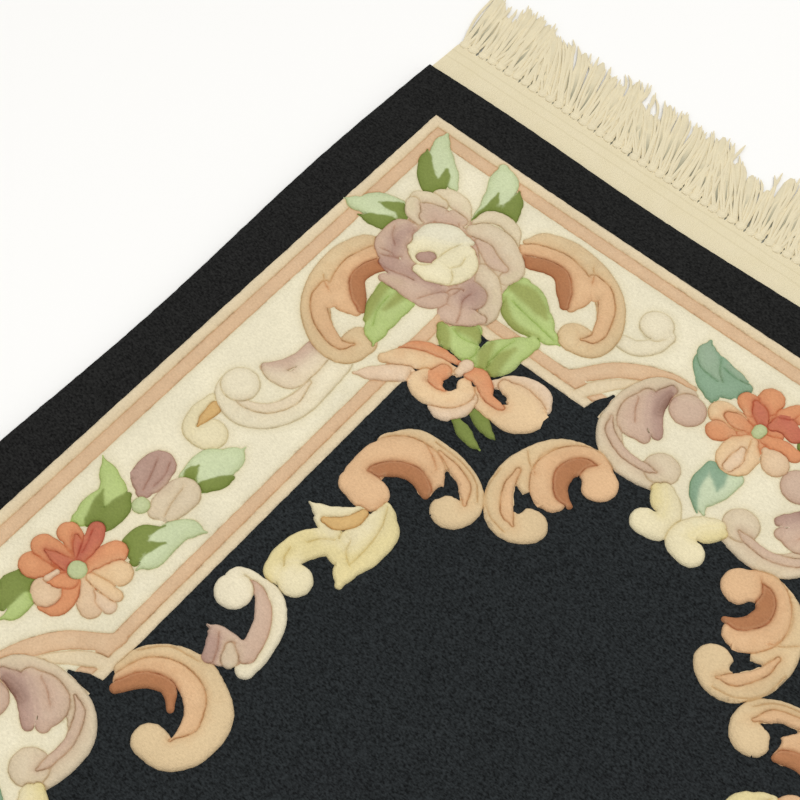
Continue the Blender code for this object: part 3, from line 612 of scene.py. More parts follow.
class Stroke:
    """A stroke of the chart in its place on the rug."""

    def __init__(self, yarn, rows, step):
        self.yarn = yarn.lstrip(JOINED)
        self.is_cut = yarn == CUT
        self.is_joined = yarn.startswith(JOINED)
        line = smooth_line(rows, step)
        self.middle, self.half = line[:, :2], line[:, 2]
        self.low = (self.middle - self.half[:, None]).min(axis=0)
        self.high = (self.middle + self.half[:, None]).max(axis=0)

    def depth(self, points):
        """How far inside the stroke's edge each point lies, in millimetres, negative outside."""
        a, b = self.middle[:-1], self.middle[1:]
        along = b - a
        from_a = points[:, None] - a
        share = ((from_a * along).sum(axis=2) / (along**2).sum(axis=1)).clip(0, 1)
        away = np.linalg.norm(from_a - share[..., None] * along, axis=2)
        half = self.half[:-1] + share * (self.half[1:] - self.half[:-1])
        return (half - away).max(axis=1)

    def edge(self):
        """The starts and ends of the line round the stroke; a cut is its own middle line."""
        if self.is_cut:
            return self.middle[:-1], self.middle[1:]
        ring = self.outline()
        return ring, np.roll(ring, -1, axis=0)

    def outline(self):
        """The closed line round the stroke."""
        ahead = np.gradient(self.middle, axis=0)
        lengths = np.linalg.norm(ahead, axis=1)
        ahead /= lengths[:, None]
        left = np.column_stack([-ahead[:, 1], ahead[:, 0]])
        spread = (np.gradient(self.half) / lengths).clip(-0.95, 0.95)
        out = np.sqrt(1 - spread**2)
        back = -ahead * spread[:, None]
        half = self.half[:, None]
        left_side = self.middle + half * (back + left * out[:, None])
        right_side = self.middle + half * (back - left * out[:, None])
        end = self.cap(-1, ahead[-1], math.acos(-spread[-1]))
        start = self.cap(0, -ahead[0], math.acos(spread[0]))
        return np.vstack([left_side, end, right_side[::-1], start])

    def cap(self, place, outward, widest):
        """The round end of the stroke, from its left side to its right as seen along the outward way."""
        radius = self.half[place]
        count = max(2, round(widest * radius))
        turns = np.linspace(widest, -widest, count + 2)[1:-1]
        first = math.atan2(outward[1], outward[0])
        return self.middle[place] + radius * np.column_stack([np.cos(first + turns), np.sin(first + turns)])


def placed(rows, way, over_u, over_v):
    """A stroke's rows placed in its quarter, and turned over to the quarter that it is for."""
    out = []
    for u, v, *half in rows:
        u, v = way(u, v)
        out.append((PILE_WIDTH - u if over_u else u, PILE_LENGTH - v if over_v else v, *(half or (0,))))
    return out


def laid(motifs, step, over_u, over_v):
    """The strokes of some motifs, placed in every way that they stand in and turned over."""
    return [
        Stroke(yarn, placed(rows, way, over_u, over_v), step)
        for motif, *ways in motifs
        for way in ways
        for yarn, *rows in motif
    ]


def all_strokes(step):
    """Every stroke of the chart, the lowest first."""
    strokes = []
    for turned in (False, True):
        for ground in UNDER_QUARTERS:
            strokes += laid((ground,), step, turned, turned) + laid((ground,), step, turned, not turned)
    for over_v in (False, True):
        for over_u in (False, True):
            strokes += laid(QUARTER, step, over_u, over_v)
    for turned in (False, True):
        strokes += laid(CENTRES, step, turned, turned)
    return strokes


def yarn_at(points, strokes):
    """Which yarn each point has, as its number in YARNS."""
    numbers = {name: i for i, (name, _, _) in enumerate(YARNS)}
    inset = np.minimum(points, (PILE_WIDTH, PILE_LENGTH) - points).min(axis=1)
    found = np.zeros(len(points), int)
    for start, yarn in BORDERS:
        found[inset >= start] = numbers[yarn]
    order = np.argsort(points[:, 0])
    across = points[order, 0]
    for stroke in strokes:
        if stroke.is_cut:
            continue
        near = order[np.searchsorted(across, stroke.low[0]):np.searchsorted(across, stroke.high[0])]
        near = near[(points[near, 1] > stroke.low[1]) & (points[near, 1] < stroke.high[1])]
        if len(near):
            found[near[stroke.depth(points[near]) > 0]] = numbers[stroke.yarn]
    return found


# How far inside its own stroke or a later one a point of an outline is hidden, in millimetres, how often a
# stretch that is partly hidden is halved to find where that starts, and the least stretch, in steps
INSIDE_OWN = 0.3
INSIDE_OTHER = 0.05
HALVINGS = 9
LEAST_STRETCH = 0.02


def lost(points, own, above):
    """Which points of an outline don't show: inside their own stroke, or under a later one."""
    closed = own is not None and not own.is_cut
    out = own.depth(points) > INSIDE_OWN if closed else np.zeros(len(points), bool)
    for stroke in above:
        if stroke.is_cut:
            continue
        near = ((points > stroke.low) & (points < stroke.high)).all(axis=1) & ~out
        if near.any():
            out[near] = stroke.depth(points[near]) > INSIDE_OTHER
    return out


def showing(starts, ends, own, above):
    """The stretches between starts and ends that show, as rows of start and end."""
    start_gone, end_gone = lost(starts, own, above), lost(ends, own, above)
    whole = ~start_gone & ~end_gone
    whole[whole] = ~lost((starts[whole] + ends[whole]) / 2, own, ())
    cut = start_gone != end_gone
    seen = np.where(start_gone[cut, None], ends[cut], starts[cut])
    hidden = np.where(start_gone[cut, None], starts[cut], ends[cut])
    first = seen.copy()
    for _ in range(HALVINGS):
        middle = (seen + hidden) / 2
        under = lost(middle, own, above)[:, None]
        hidden = np.where(under, middle, hidden)
        seen = np.where(under, seen, middle)
    return np.concatenate([np.stack([starts[whole], ends[whole]], axis=1), np.stack([first, seen], axis=1)])


def rectangle(inset, step):
    """A closed line so far inside the pile's edge, with points about a step apart."""
    low, high = (inset, inset), (PILE_WIDTH - inset, PILE_LENGTH - inset)
    corners = np.array([low, (high[0], low[1]), high, (low[0], high[1])])
    pieces = []
    for a, b in zip(corners, np.roll(corners, -1, axis=0)):
        count = round(np.linalg.norm(b - a) / step)
        pieces.append(a + (b - a) * (np.arange(count) / count)[:, None])
    return np.vstack(pieces)


def showing_lines(strokes, step):
    """Every stretch of an outline or cut that shows, and whether it is of a cut or a joined stroke."""
    lows = np.array([stroke.low for stroke in strokes])
    highs = np.array([stroke.high for stroke in strokes])
    lines, cuts, joined = [], [], []
    for inset, _ in BORDERS[1:]:
        ring = rectangle(inset, 2 * step)
        lines.append(showing(ring, np.roll(ring, -1, axis=0), None, strokes))
        cuts.append(np.zeros(len(lines[-1]), bool))
        joined.append(cuts[-1])
    for place, stroke in enumerate(strokes):
        meet = ((lows[place + 1:] < stroke.high) & (highs[place + 1:] > stroke.low)).all(axis=1)
        above = [strokes[place + 1 + i] for i in np.flatnonzero(meet)]
        lines.append(showing(*stroke.edge(), stroke, above))
        cuts.append(np.full(len(lines[-1]), stroke.is_cut))
        joined.append(np.full(len(lines[-1]), stroke.is_joined))
    lines, cuts, joined = np.concatenate(lines), np.concatenate(cuts), np.concatenate(joined)
    long_enough = np.linalg.norm(lines[:, 1] - lines[:, 0], axis=1) > LEAST_STRETCH * step
    return lines[long_enough], cuts[long_enough], joined[long_enough]


def search_tree(points):
    """A tree that finds the nearest of some points in the plane."""
    tree = KDTree(len(points))
    for i, (u, v) in enumerate(points):
        tree.insert((u, v, 0), i)
    tree.balance()
    return tree


def spaced(lines, spacing):
    """Points along lines about so far apart, and which line each is on."""
    starts, ends = lines[:, 0], lines[:, 1]
    counts = np.maximum(1, np.ceil(np.linalg.norm(ends - starts, axis=1) / spacing)).astype(int)
    which = np.repeat(np.arange(len(lines)), counts)
    place = np.arange(len(which)) - np.repeat(np.cumsum(counts) - counts, counts)
    share = ((place + 0.5) / counts[which])[:, None]
    return starts[which] + (ends[which] - starts[which]) * share, which


# How strong the painted shade at a carved line is: beside black pile it hardly shows, and a line between
# pale yarns is shallow
SHADE_BY_BLACK = 0.12
SHADE_BY_CREAM = 0.8
SHADE_AT_CUT = 0.75


class Carving:
    """The lines of the pattern: how far a point is from a carved one, how deep it is and how strong its
    painted shade is, and what mingles.
    """

    def __init__(self, strokes, tops, depth, step):
        lines, cuts, joined = showing_lines(strokes, step)
        ahead = lines[:, 1] - lines[:, 0]
        side = np.column_stack([-ahead[:, 1], ahead[:, 0]]) / np.linalg.norm(ahead, axis=1)[:, None]
        middle = lines.mean(axis=1)
        one, other = yarn_at(middle + side, strokes), yarn_at(middle - side, strokes)
        names = np.array([name for name, _, _ in YARNS])
        ground = np.isin(names, GROUNDS)
        kept = cuts | (one != other) | ~(ground[one] | joined)
        lines, cuts, side, one, other = lines[kept], cuts[kept], side[kept], one[kept], other[kept]
        self.lines, self.side, self.one, self.other = lines, side, one, other
        pairs = [frozenset((names[a], names[b])) for a, b in zip(one, other)]
        mingled = {frozenset(row[:2]): row[2:] for row in MINGLING}
        share, width, has_line = np.array([mingled.get(pair, (0, 1, True)) for pair in pairs], float).T
        carved = cuts | (has_line > 0)
        bottom = np.minimum(tops[one], tops[other])
        bottom = bottom - depth * np.where(tops[one] == tops[other], 1, 0.5)
        # The strength of the painted shade at each line: weaker at a cut, beside cream and beside black
        dark = np.where(cuts, SHADE_AT_CUT, 1.0)
        dark[[("cream" in pair) for pair in pairs]] = SHADE_BY_CREAM
        dark[[bool(pair & set(DARKS)) for pair in pairs]] = SHADE_BY_BLACK
        self.tree = search_tree(spaced(lines, step / 4)[0])
        points, which = spaced(lines[carved], step / 4)
        self.carved_tree = search_tree(points)
        self.bottom, self.dark = bottom[carved][which], dark[carved][which]
        soft = (share > 0) & ~cuts
        points, which = spaced(lines[soft], step / 2)
        self.soft_tree, self.share, self.width = search_tree(points), share[soft][which], width[soft][which]
        self.soft_one, self.soft_other = one[soft][which], other[soft][which]

    def away(self, points):
        """How far the nearest line, carved or not, is from each point."""
        return np.array([self.tree.find((u, v, 0))[2] for u, v in points])

    def nearest(self, points):
        """How far the nearest carved line is from each point, its bottom and how strong its painted shade
        is.
        """
        found = [self.carved_tree.find((u, v, 0)) for u, v in points]
        away = np.array([distance for _, _, distance in found])
        index = [number for _, number, _ in found]
        return away, self.bottom[index], self.dark[index]

    def mingling(self, points, yarn):
        """For points knotted in one yarn: which other yarn mingles there, and how much."""
        found = [self.soft_tree.find((u, v, 0)) for u, v in points]
        away = np.array([distance for _, _, distance in found])
        index = np.array([number for _, number, _ in found])
        one, other = self.soft_one[index], self.soft_other[index]
        partner = np.where(one == yarn, other, one)
        share = self.share[index] * np.exp(-((away / self.width[index]) ** 2))
        return partner, np.where((one == yarn) | (other == yarn), share, 0)


# How far from a line the pile's crown has mostly risen, in millimetres, and the share of it in the grounds
CROWN_REACH = 6.5
GROUND_CROWN = 0.35

# How the pile is divided, in millimetres: a row of points inside its edge, rows on both sides of each line,
# the least room between those and the plain pile's points, and how near two points are one
RIM = 5.0
SIDE_ROWS = (1.1, 2.8)
ROOM = 1.5
SAME_POINT = 0.05


class PileMap:
    """The whole pile as a flat map: its points with their heights, and its triangles with their yarns."""

    def __init__(self, sizes):
        step = sizes.outline_step / MM
        strokes = all_strokes(step)
        flat = dict.fromkeys(GROUNDS, sizes.ground_top) | dict.fromkeys(DARKS, sizes.dark_top)
        tops = np.array([flat.get(name, sizes.motif_top) for name, _, _ in YARNS]) / MM
        self.carving = Carving(strokes, tops, sizes.groove_depth / MM, step)
        given, edges = self.laid_out(step, sizes.fill_step / MM)
        given = [tuple(point) for point in given]
        points, _, faces, *_ = delaunay_2d_cdt(given, edges, [], 0, SAME_POINT, False)
        self.points, self.faces = np.array(points), np.array(faces)
        self.yarns = yarn_at(self.points[self.faces].mean(axis=1), strokes)
        self.away, bottom, self.dark = self.carving.nearest(self.points)
        self.heights = self.risen(tops[yarn_at(self.points, strokes)], bottom, sizes)

    def laid_out(self, step, fill_step):
        """The points to be joined into triangles, and the edges that must be kept."""
        carving = self.carving
        middles = carving.lines.mean(axis=1)
        beside = []
        for off in SIDE_ROWS:
            for way in (off, -off):
                row = middles + way * carving.side
                beside.append(row[carving.away(row) > 0.85 * off])
        fill = filling(fill_step)
        fill = fill[carving.away(fill) > SIDE_ROWS[-1] + ROOM]
        loose = np.vstack(beside + [rectangle(RIM, 2 * step), fill])
        loose = loose[np.minimum(loose, (PILE_WIDTH, PILE_LENGTH) - loose).min(axis=1) > 1]
        lines, frame_line = carving.lines, rectangle(0, 2 * step)
        edges = [(2 * i, 2 * i + 1) for i in range(len(lines))]
        first, count = 2 * len(lines), len(frame_line)
        edges += [(first + i, first + (i + 1) % count) for i in range(count)]
        return np.vstack([lines.reshape(-1, 2), frame_line, loose]), edges

    def risen(self, tops, bottom, sizes):
        """The height of the pile at each point, in millimetres."""
        away, points = self.away, self.points
        rounding = 1 - np.exp(-((away / (sizes.groove_reach / MM)) ** 1.3))
        crown = np.where(tops == tops.max(), 1.0, GROUND_CROWN) * sizes.crown / MM
        crown = crown * (1 - np.exp(-away / CROWN_REACH))
        uneven = sizes.uneven / MM * (0.6 * rippled(points, 60, 1) + 0.4 * rippled(points, 14, 2))
        heights = bottom + (tops - bottom) * rounding + crown + uneven * rounding
        from_edge = np.minimum(points, (PILE_WIDTH, PILE_LENGTH) - points).min(axis=1).clip(0)
        edge_share = 1 - np.exp(-((from_edge / 1.2) ** 1.5))
        edge_top = sizes.edge_top / MM
        return edge_top + (heights - edge_top) * edge_share


def filling(step):
    """Points in staggered rows over the pile, a little out of line."""
    chance = np.random.default_rng(5)
    rows = round(PILE_LENGTH / (step * 0.87))
    across = round(PILE_WIDTH / step)
    v, u = np.meshgrid((np.arange(rows) + 0.5) / rows, (np.arange(across) + 0.25) / across, indexing="ij")
    u = u + (np.arange(rows)[:, None] % 2) * 0.5 / across
    points = np.column_stack([u.ravel() * PILE_WIDTH, v.ravel() * PILE_LENGTH])
    return points + chance.uniform(-0.2, 0.2, points.shape) * step


# Materials


def node(tree, kind, inputs=(), out=0, **settings):
    """Adds a node with its settings, links or sets its inputs, and gives the output that is asked for."""
    new = tree.nodes.new("ShaderNode" + kind)
    for key, value in settings.items():
        setattr(new, key, value)
    for key, value in dict(inputs).items():
        if isinstance(value, bpy.types.NodeSocket):
            tree.links.new(value, new.inputs[key])
        else:
            new.inputs[key].default_value = value
    return new.outputs[out]


def shade(colour, factor, grey=0.0):
    """A colour made darker or lighter, and nearer to its own grey."""
    mean = sum(colour) / 3
    return [min(1.0, (part + (mean - part) * grey) * factor) for part in colour] + [1.0]


def patch_scale(millimetres):
    """The scale of a pattern whose patches are about so wide."""
    return 1 / (millimetres * MM)


# How far apart the wave pattern's bands stand at a scale of one
BAND_AT_ONE = 0.314


def band_scale(millimetres):
    """The scale of a pattern of bands that stand so far apart."""
    return BAND_AT_ONE / (millimetres * MM)


def new_material(name):
    """An empty material, its nodes and its shader."""
    material = bpy.data.materials.new(name)
    material.use_nodes = True
    return material, material.node_tree, material.node_tree.nodes["Principled BSDF"]


def matt_fibre(tree, shader, cloth, height, rise, roughness, shine):
    """Gives a shader its cloth colour and the relief of its fibres: how strong that is and how high."""
    strength, distance = rise
    bump = node(tree, "Bump", {"Strength": strength, "Distance": distance * MM, "Height": height})
    tree.links.new(cloth, shader.inputs["Base Color"])
    tree.links.new(bump, shader.inputs["Normal"])
    shader.inputs["Roughness"].default_value = roughness
    shader.inputs["Specular IOR Level"].default_value = shine


# The pile's grain, in millimetres: lots of yarn that took the dye a little differently, tufts, and fibres.
# Real fibres are far too fine to show, so they are drawn as coarse as they need to be
DYE_LOT = 38
TUFT = 2.2
FIBRE = 1.1
# The way that the fibres lean, as a turn about Z in degrees, and how long they look along it
NAP_TURN = 52.0
NAP_LENGTH = 0.45
# Painted shade darkens a carved line over so many millimetres, in patches so wide, and darkens the pile
# beside it faintly
LINE_REACH = 1.5
LINE_SHADE_PATCH = 11
LINE_SHADE = 0.66
RIM_REACH = 7.0
RIM_SHADE = 0.24


# Cut pile of worsted wool, washed and sheared: a matt, velvety nap, its fibres leaning all one way, with
# painted shade in and beside its carved lines
def pile_wool(name, colour):
    """The material of one yarn of the pile."""
    material, tree, shader = new_material(name)
    dark = max(colour) < 0.1
    place = node(tree, "TexCoord", out="Object")
    # Each point's distance to the nearest line, the strength of the painted shade there, and the share of a
    # mingled yarn
    keys = ("from_line", "line_dark", "mingled")
    away, depth, share = [node(tree, "Attribute", out="Fac", attribute_name=key) for key in keys]
    other = node(tree, "Attribute", out="Color", attribute_name="other_yarn")
    turned = {"Vector": place, "Rotation": (0, 0, math.radians(NAP_TURN)), "Scale": (NAP_LENGTH, 1, 1)}
    lean = node(tree, "Mapping", turned)
    dyed = node(tree, "TexNoise", {"Vector": place, "Scale": patch_scale(DYE_LOT)})
    dyed = node(tree, "MapRange", {0: dyed, 1: 0.3, 2: 0.7, 3: 0.955, 4: 1.045})
    tufts = node(tree, "TexNoise", {"Vector": place, "Scale": patch_scale(TUFT), "Detail": 3.0})
    tufts = node(tree, "MapRange", {0: tufts, 1: 0.3, 2: 0.7})
    fibres = node(tree, "TexNoise", {"Vector": lean, "Scale": patch_scale(FIBRE)})
    fibres = node(tree, "MapRange", {0: fibres, 1: 0.3, 2: 0.7})
    grain = node(tree, "Math", {0: tufts, 1: fibres}, operation="ADD")
    ragged = node(tree, "MapRange", {0: fibres, 4: 0.35})
    ragged = node(tree, "Math", {0: ragged, 1: share}, operation="MULTIPLY")
    share = node(tree, "Math", {0: share, 1: ragged}, operation="ADD")
    cloth = node(tree, "Mix", {0: share, 6: colour + [1.0], 7: other}, out=2, data_type="RGBA")
    low, high = (0.25, 1.8) if dark else (0.92, 1.07)
    grained = node(tree, "MapRange", {0: grain, 1: 0.35, 2: 1.65, 3: low, 4: high})
    for factor in (grained, dyed):
        inputs = {0: 1.0, 6: cloth, 7: factor}
        cloth = node(tree, "Mix", inputs, out=2, data_type="RGBA", blend_type="MULTIPLY")
    # Painted shade: a darker tone of the yarn's own colour over the carved lines, in uneven patches, where
    # the pile falls in shade
    shade_patches = node(tree, "TexNoise", {"Vector": place, "Scale": patch_scale(LINE_SHADE_PATCH), "Detail": 1.0})
    shade_patches = node(tree, "MapRange", {0: shade_patches, 1: 0.35, 2: 0.6, 3: 0.45})
    line = {0: away, 1: 0.0, 2: LINE_REACH, 3: LINE_SHADE, 4: 0.0}
    line = node(tree, "MapRange", line, interpolation_type="SMOOTHSTEP")
    line = node(tree, "Math", {0: line, 1: shade_patches}, operation="MULTIPLY")
    # Painted shade, fainter, on the pile beside each line, where it slopes down into the carving
    rim_shade = node(tree, "MapRange", {0: away, 1: 0.0, 2: RIM_REACH, 3: RIM_SHADE, 4: 0.0})
    # The painted shade's tone: a darker, richer tone of the yarn's colour
    strongest = max(colour)
    groove_shade_tone = [0.66 * (part / strongest) ** 1.1 for part in colour] + [1.0]
    for factor in (line, rim_shade):
        factor = node(tree, "Math", {0: factor, 1: depth}, operation="MULTIPLY")
        inputs = {0: factor, 6: cloth, 7: groove_shade_tone}
        cloth = node(tree, "Mix", inputs, out=2, data_type="RGBA", blend_type="MULTIPLY")
    matt_fibre(tree, shader, cloth, grain, (0.4, 0.45), 0.95, 0.15)
    shader.inputs["Sheen Weight"].default_value = 0.1
    shader.inputs["Sheen Roughness"].default_value = 0.45
    shader.inputs["Sheen Tint"].default_value = shade(colour, 1.3, 0.5)
    return material


# How far apart the turns of the overcasting lie, in millimetres
OVERCAST_TURN = 2.2


# Wool yarn wound over a cord to bind the edge: short ridges across it, one for each turn, painted lighter on
# their tops and darker between them
def overcast_wool(name, colour):
    """The material of the bound long edges."""
    material, tree, shader = new_material(name)
    place = node(tree, "TexCoord", out="Object")
    turns = {"Vector": place, "Scale": band_scale(OVERCAST_TURN), "Distortion": 1.2}
    turns = node(tree, "TexWave", turns, out=1, wave_type="BANDS", bands_direction="Y")
    fuzz = node(tree, "TexNoise", {"Vector": place, "Scale": patch_scale(0.8)})
    # Painted highlight and shade: each turn is lighter on its top and darker where it meets the next
    cloth = {0: turns, 6: shade(colour, 0.5), 7: shade(colour, 1.8)}
    cloth = node(tree, "Mix", cloth, out=2, data_type="RGBA")
    height = node(tree, "Math", {0: turns, 1: fuzz}, operation="ADD")
    matt_fibre(tree, shader, cloth, height, (0.8, 0.6), 0.9, 0.2)
    return material


# The flat weave, in millimetres: its picks and its warps, drawn a little coarser than they are so that they
# show, and how far past the pile two thicker picks run across each end
PICK = 1.5
WARP = 2.5
THICK_PICKS = (28.0, 38.0)


# Undyed cotton warp and weft in a plain, weft-faced flat weave: fine ribs across the rug, slightly uneven,
# painted a little lighter on the threads and darker between them
def flat_weave(name, colour):
    """The material of the cotton foundation and its flat ends."""
    material, tree, shader = new_material(name)
    place = node(tree, "TexCoord", out="Object")
    rows = {"Vector": place, "Scale": band_scale(PICK), "Distortion": 2.5, "Detail": 2.0}
    rows = node(tree, "TexWave", rows, out=1, wave_type="BANDS", bands_direction="Y")
    warps = {"Vector": place, "Scale": band_scale(WARP), "Distortion": 1.5}
    warps = node(tree, "TexWave", warps, out=1, wave_type="BANDS", bands_direction="X")
    soil = node(tree, "TexNoise", {"Vector": place, "Scale": patch_scale(30), "Detail": 3.0})
    soil = node(tree, "MapRange", {0: soil, 1: 0.35, 2: 0.7})
    fuzz = node(tree, "TexNoise", {"Vector": place, "Scale": patch_scale(0.9)})
    fuzz = node(tree, "MapRange", {0: fuzz, 1: 0.3, 2: 0.7})
    weave = node(tree, "Math", {0: rows, 1: warps}, operation="MULTIPLY")
    # Painted light and shade: the cloth is a little lighter on the threads and a little darker between them
    painted_thread_light = node(tree, "MapRange", {0: weave, 2: 0.6})
    cloth = {0: painted_thread_light, 6: shade(colour, 0.95), 7: shade(colour, 1.02)}
    cloth = node(tree, "Mix", cloth, out=2, data_type="RGBA")
    soiled, fuzzy = shade(colour, 0.9, -0.15), shade(colour, 1.08, 0.2)
    for value, most, tone in ((soil, 0.5, soiled), (fuzz, 0.35, fuzzy)):
        share = node(tree, "MapRange", {0: value, 4: most})
        cloth = node(tree, "Mix", {0: share, 6: cloth, 7: tone}, out=2, data_type="RGBA")
    along = node(tree, "SeparateXYZ", {0: place}, out=1)
    from_middle = node(tree, "Math", {0: along}, operation="ABSOLUTE")
    wander = node(tree, "TexNoise", {"Vector": place, "Scale": patch_scale(25)})
    for out in THICK_PICKS:
        line = (PILE_LENGTH / 2 + out) * MM
        line = node(tree, "MapRange", {0: wander, 3: line - 1 * MM, 4: line + 1 * MM})
        past = node(tree, "Math", {0: from_middle, 1: line}, operation="SUBTRACT")
        past = node(tree, "Math", {0: past}, operation="ABSOLUTE")
        past = node(tree, "MapRange", {0: past, 1: 0.3 * MM, 2: 1.2 * MM, 3: 0.32, 4: 0.0})
        inputs = {0: past, 6: cloth, 7: shade(colour, 0.72, -0.2)}
        cloth = node(tree, "Mix", inputs, out=2, data_type="RGBA")
    height = node(tree, "Math", {0: weave, 1: fuzz}, operation="ADD")
    matt_fibre(tree, shader, cloth, height, (0.5, 0.5), 0.92, 0.2)
    return material


# The painted shade that shows between the strands, down where the fringe is in its own shade: linear red,
# green and blue
FRINGE_SHADE = [0.24, 0.25, 0.19, 1.0]


# Twisted cotton warp ends: a slanting ply line round each strand, painted lighter on each ply and darker in
# the twist, and a soft fuzz
def twisted_cotton(name, colour):
    """The material of the fringe, its plies drawn on the strands' own map."""
    material, tree, shader = new_material(name)
    own = node(tree, "UVMap", uv_map="strand")
    place = node(tree, "TexCoord", out="Object")
    plies = {"Vector": own, "Scale": BAND_AT_ONE, "Distortion": 0.6}
    plies = node(tree, "TexWave", plies, out=1, wave_type="BANDS", bands_direction="DIAGONAL")
    fuzz = node(tree, "TexNoise", {"Vector": place, "Scale": patch_scale(1.0)})
    fuzz = node(tree, "MapRange", {0: fuzz, 1: 0.3, 2: 0.7})
    tone = node(tree, "TexNoise", {"Vector": place, "Scale": patch_scale(9)})
    tone = node(tree, "MapRange", {0: tone, 1: 0.3, 2: 0.7, 4: 0.5})
    # Painted highlight and shade: each ply is lighter on its crown and darker in the twist between plies
    cloth = {0: plies, 6: shade(colour, 0.98), 7: shade(colour, 1.08, 0.1)}
    cloth = node(tree, "Mix", cloth, out=2, data_type="RGBA")
    # Painted shade: the locks are darkened towards their knots, where they lie in shade under the strands
    deep = node(tree, "Attribute", out="Fac", attribute_name="deep")
    for share, other in ((tone, shade(colour, 0.92, 0.1)), (deep, FRINGE_SHADE)):
        cloth = node(tree, "Mix", {0: share, 6: cloth, 7: other}, out=2, data_type="RGBA")
    height = node(tree, "Math", {0: plies, 1: fuzz}, operation="ADD")
    matt_fibre(tree, shader, cloth, height, (0.4, 0.3), 0.9, 0.2)
    shader.inputs["Sheen Weight"].default_value = 0.1
    return material


# Pieces


def deselect():
    """Leaves edit mode with nothing selected."""
    if bpy.context.object and bpy.context.object.mode != "OBJECT":
        bpy.ops.object.mode_set(mode="OBJECT")
    bpy.ops.object.select_all(action="DESELECT")


def choose(piece):
    """Makes a piece the only one selected."""
    deselect()
    piece.select_set(True)
    bpy.context.view_layer.objects.active = piece


def yarn_colour(name):
    """A yarn's colour as it stands in the panel."""
    return list(getattr(bpy.context.scene.rug_yarns, name))


def finished(piece, name, material, replaces):
    """Names a piece, gives it its material, and ties it to the frame."""
    piece.name = name
    piece.data.name = name
    piece.data.materials.clear()
    piece.data.materials.append(material)
    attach(piece, "root")
    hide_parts(replaces)


def new_piece(name, places, faces):
    """A piece made from its points, in metres, and their faces."""
    mesh = bpy.data.meshes.new(name)
    mesh.from_pydata(places.tolist(), [], faces)
    piece = bpy.data.objects.new(name, mesh)
    bpy.context.scene.collection.objects.link(piece)
    return piece


def give_values(piece, name, values):
    """Gives each point of a piece a value that its material reads."""
    piece.data.attributes.new(name, "FLOAT", "POINT").data.foreach_set("value", values)


def edit(piece):
    """Opens a piece in edit mode with all of it selected."""
    choose(piece)
    bpy.ops.object.mode_set(mode="EDIT")
    bpy.ops.mesh.select_all(action="SELECT")


def close(piece, fold, way=None):
    """Turns all faces outwards, moves the points by a way, and smooths what folds by fewer degrees."""
    bpy.ops.mesh.select_all(action="SELECT")
    bpy.ops.mesh.normals_make_consistent(inside=False)
    bpy.ops.object.mode_set(mode="OBJECT")
    if way:
        move_points(piece, way)
    bpy.ops.object.shade_smooth_by_angle(angle=math.radians(fold))


def pile_pad(name, pile, number):
    """One yarn's pile as closed pads: its carved top, then walls and a flat back at the floor."""
    used, faces = np.unique(pile.faces[pile.yarns == number], return_inverse=True)
    faces = faces.reshape(-1, 3)[:, ::-1]
    points = pile.points[used]
    places = np.column_stack([wandered(points + strayed(points)), pile.heights[used] * MM])
    piece = new_piece(name, places, faces.tolist())
    partner, share = pile.carving.mingling(points, number)
    colours = np.array([yarn_colour(yarn) + [1.0] for yarn, _, _ in YARNS])
    give_values(piece, "from_line", pile.away[used].clip(0, 30))
    give_values(piece, "line_dark", pile.dark[used])
    give_values(piece, "mingled", share)
    other = piece.data.attributes.new("other_yarn", "FLOAT_COLOR", "POINT")
    other.data.foreach_set("color", colours[partner].ravel())
    edit(piece)
    bpy.ops.mesh.extrude_region_move(TRANSFORM_OT_translate={"value": (0, 0, -MM)})
    bpy.ops.transform.resize(value=(1, 1, 0), center_override=(0, 0, 0))
    bpy.ops.mesh.dissolve_limited(angle_limit=math.radians(1))
    close(piece, 50)
    return piece


# How far the knots stray from the chart, and in waves how long, in millimetres
STRAY = 0.24
STRAY_WAVE = 6


def strayed(points):
    """How far each point strays from the chart: no line of hand-tied knots is quite even."""
    return np.column_stack([rippled(points, STRAY_WAVE, 3), rippled(points, STRAY_WAVE, 4)]) * STRAY


class RUG_OT_pile(bpy.types.Operator):
    """Knots and carves the pile: one piece for each dyed yarn"""

    bl_idname = "rug.pile"
    bl_label = "Carved pile"

    def execute(self, context):
        pile = PileMap(context.scene.rug_sizes)
        for number, (name, _, _) in enumerate(YARNS):
            if not (pile.yarns == number).any():
                raise RuntimeError(f"no pile is knotted in {name}")
            piece = pile_pad("pile_" + name, pile, number)
            material = pile_wool("pile_wool_" + name, yarn_colour(name))
            finished(piece, "pile_" + name, material, "rug")
        return {"FINISHED"}


# How high the back of the weave lies, in millimetres, and its squares across and along the rug
WEAVE_BACK = 0.4
WEAVE_SQUARES = (60, 106)


class RUG_OT_foundation(bpy.types.Operator):
    """Weaves the cotton cloth that the knots are tied on, with its flat ends"""

    bl_idname = "rug.foundation"
    bl_label = "Cotton foundation"

    def execute(self, context):
        sizes = context.scene.rug_sizes
        back = WEAVE_BACK * MM
        length = PILE_LENGTH + 2 * FLAT_END_LENGTH
        deselect()
        across, along = WEAVE_SQUARES
        bpy.ops.mesh.primitive_grid_add(
            x_subdivisions=across, y_subdivisions=along, size=1, location=(0, 0, back)
        )
        piece = context.object
        bpy.ops.transform.resize(value=(PILE_WIDTH * MM, length * MM, 1))
        bpy.ops.object.transform_apply(location=True, rotation=True, scale=True)
        edit(piece)
        bpy.ops.mesh.extrude_region_move(TRANSFORM_OT_translate={"value": (0, 0, sizes.weave_top - back)})
        close(piece, 50, laid_weave)
        material = flat_weave("flat_woven_cotton", yarn_colour("cotton"))
        finished(piece, "foundation", material, "rug")
        return {"FINISHED"}


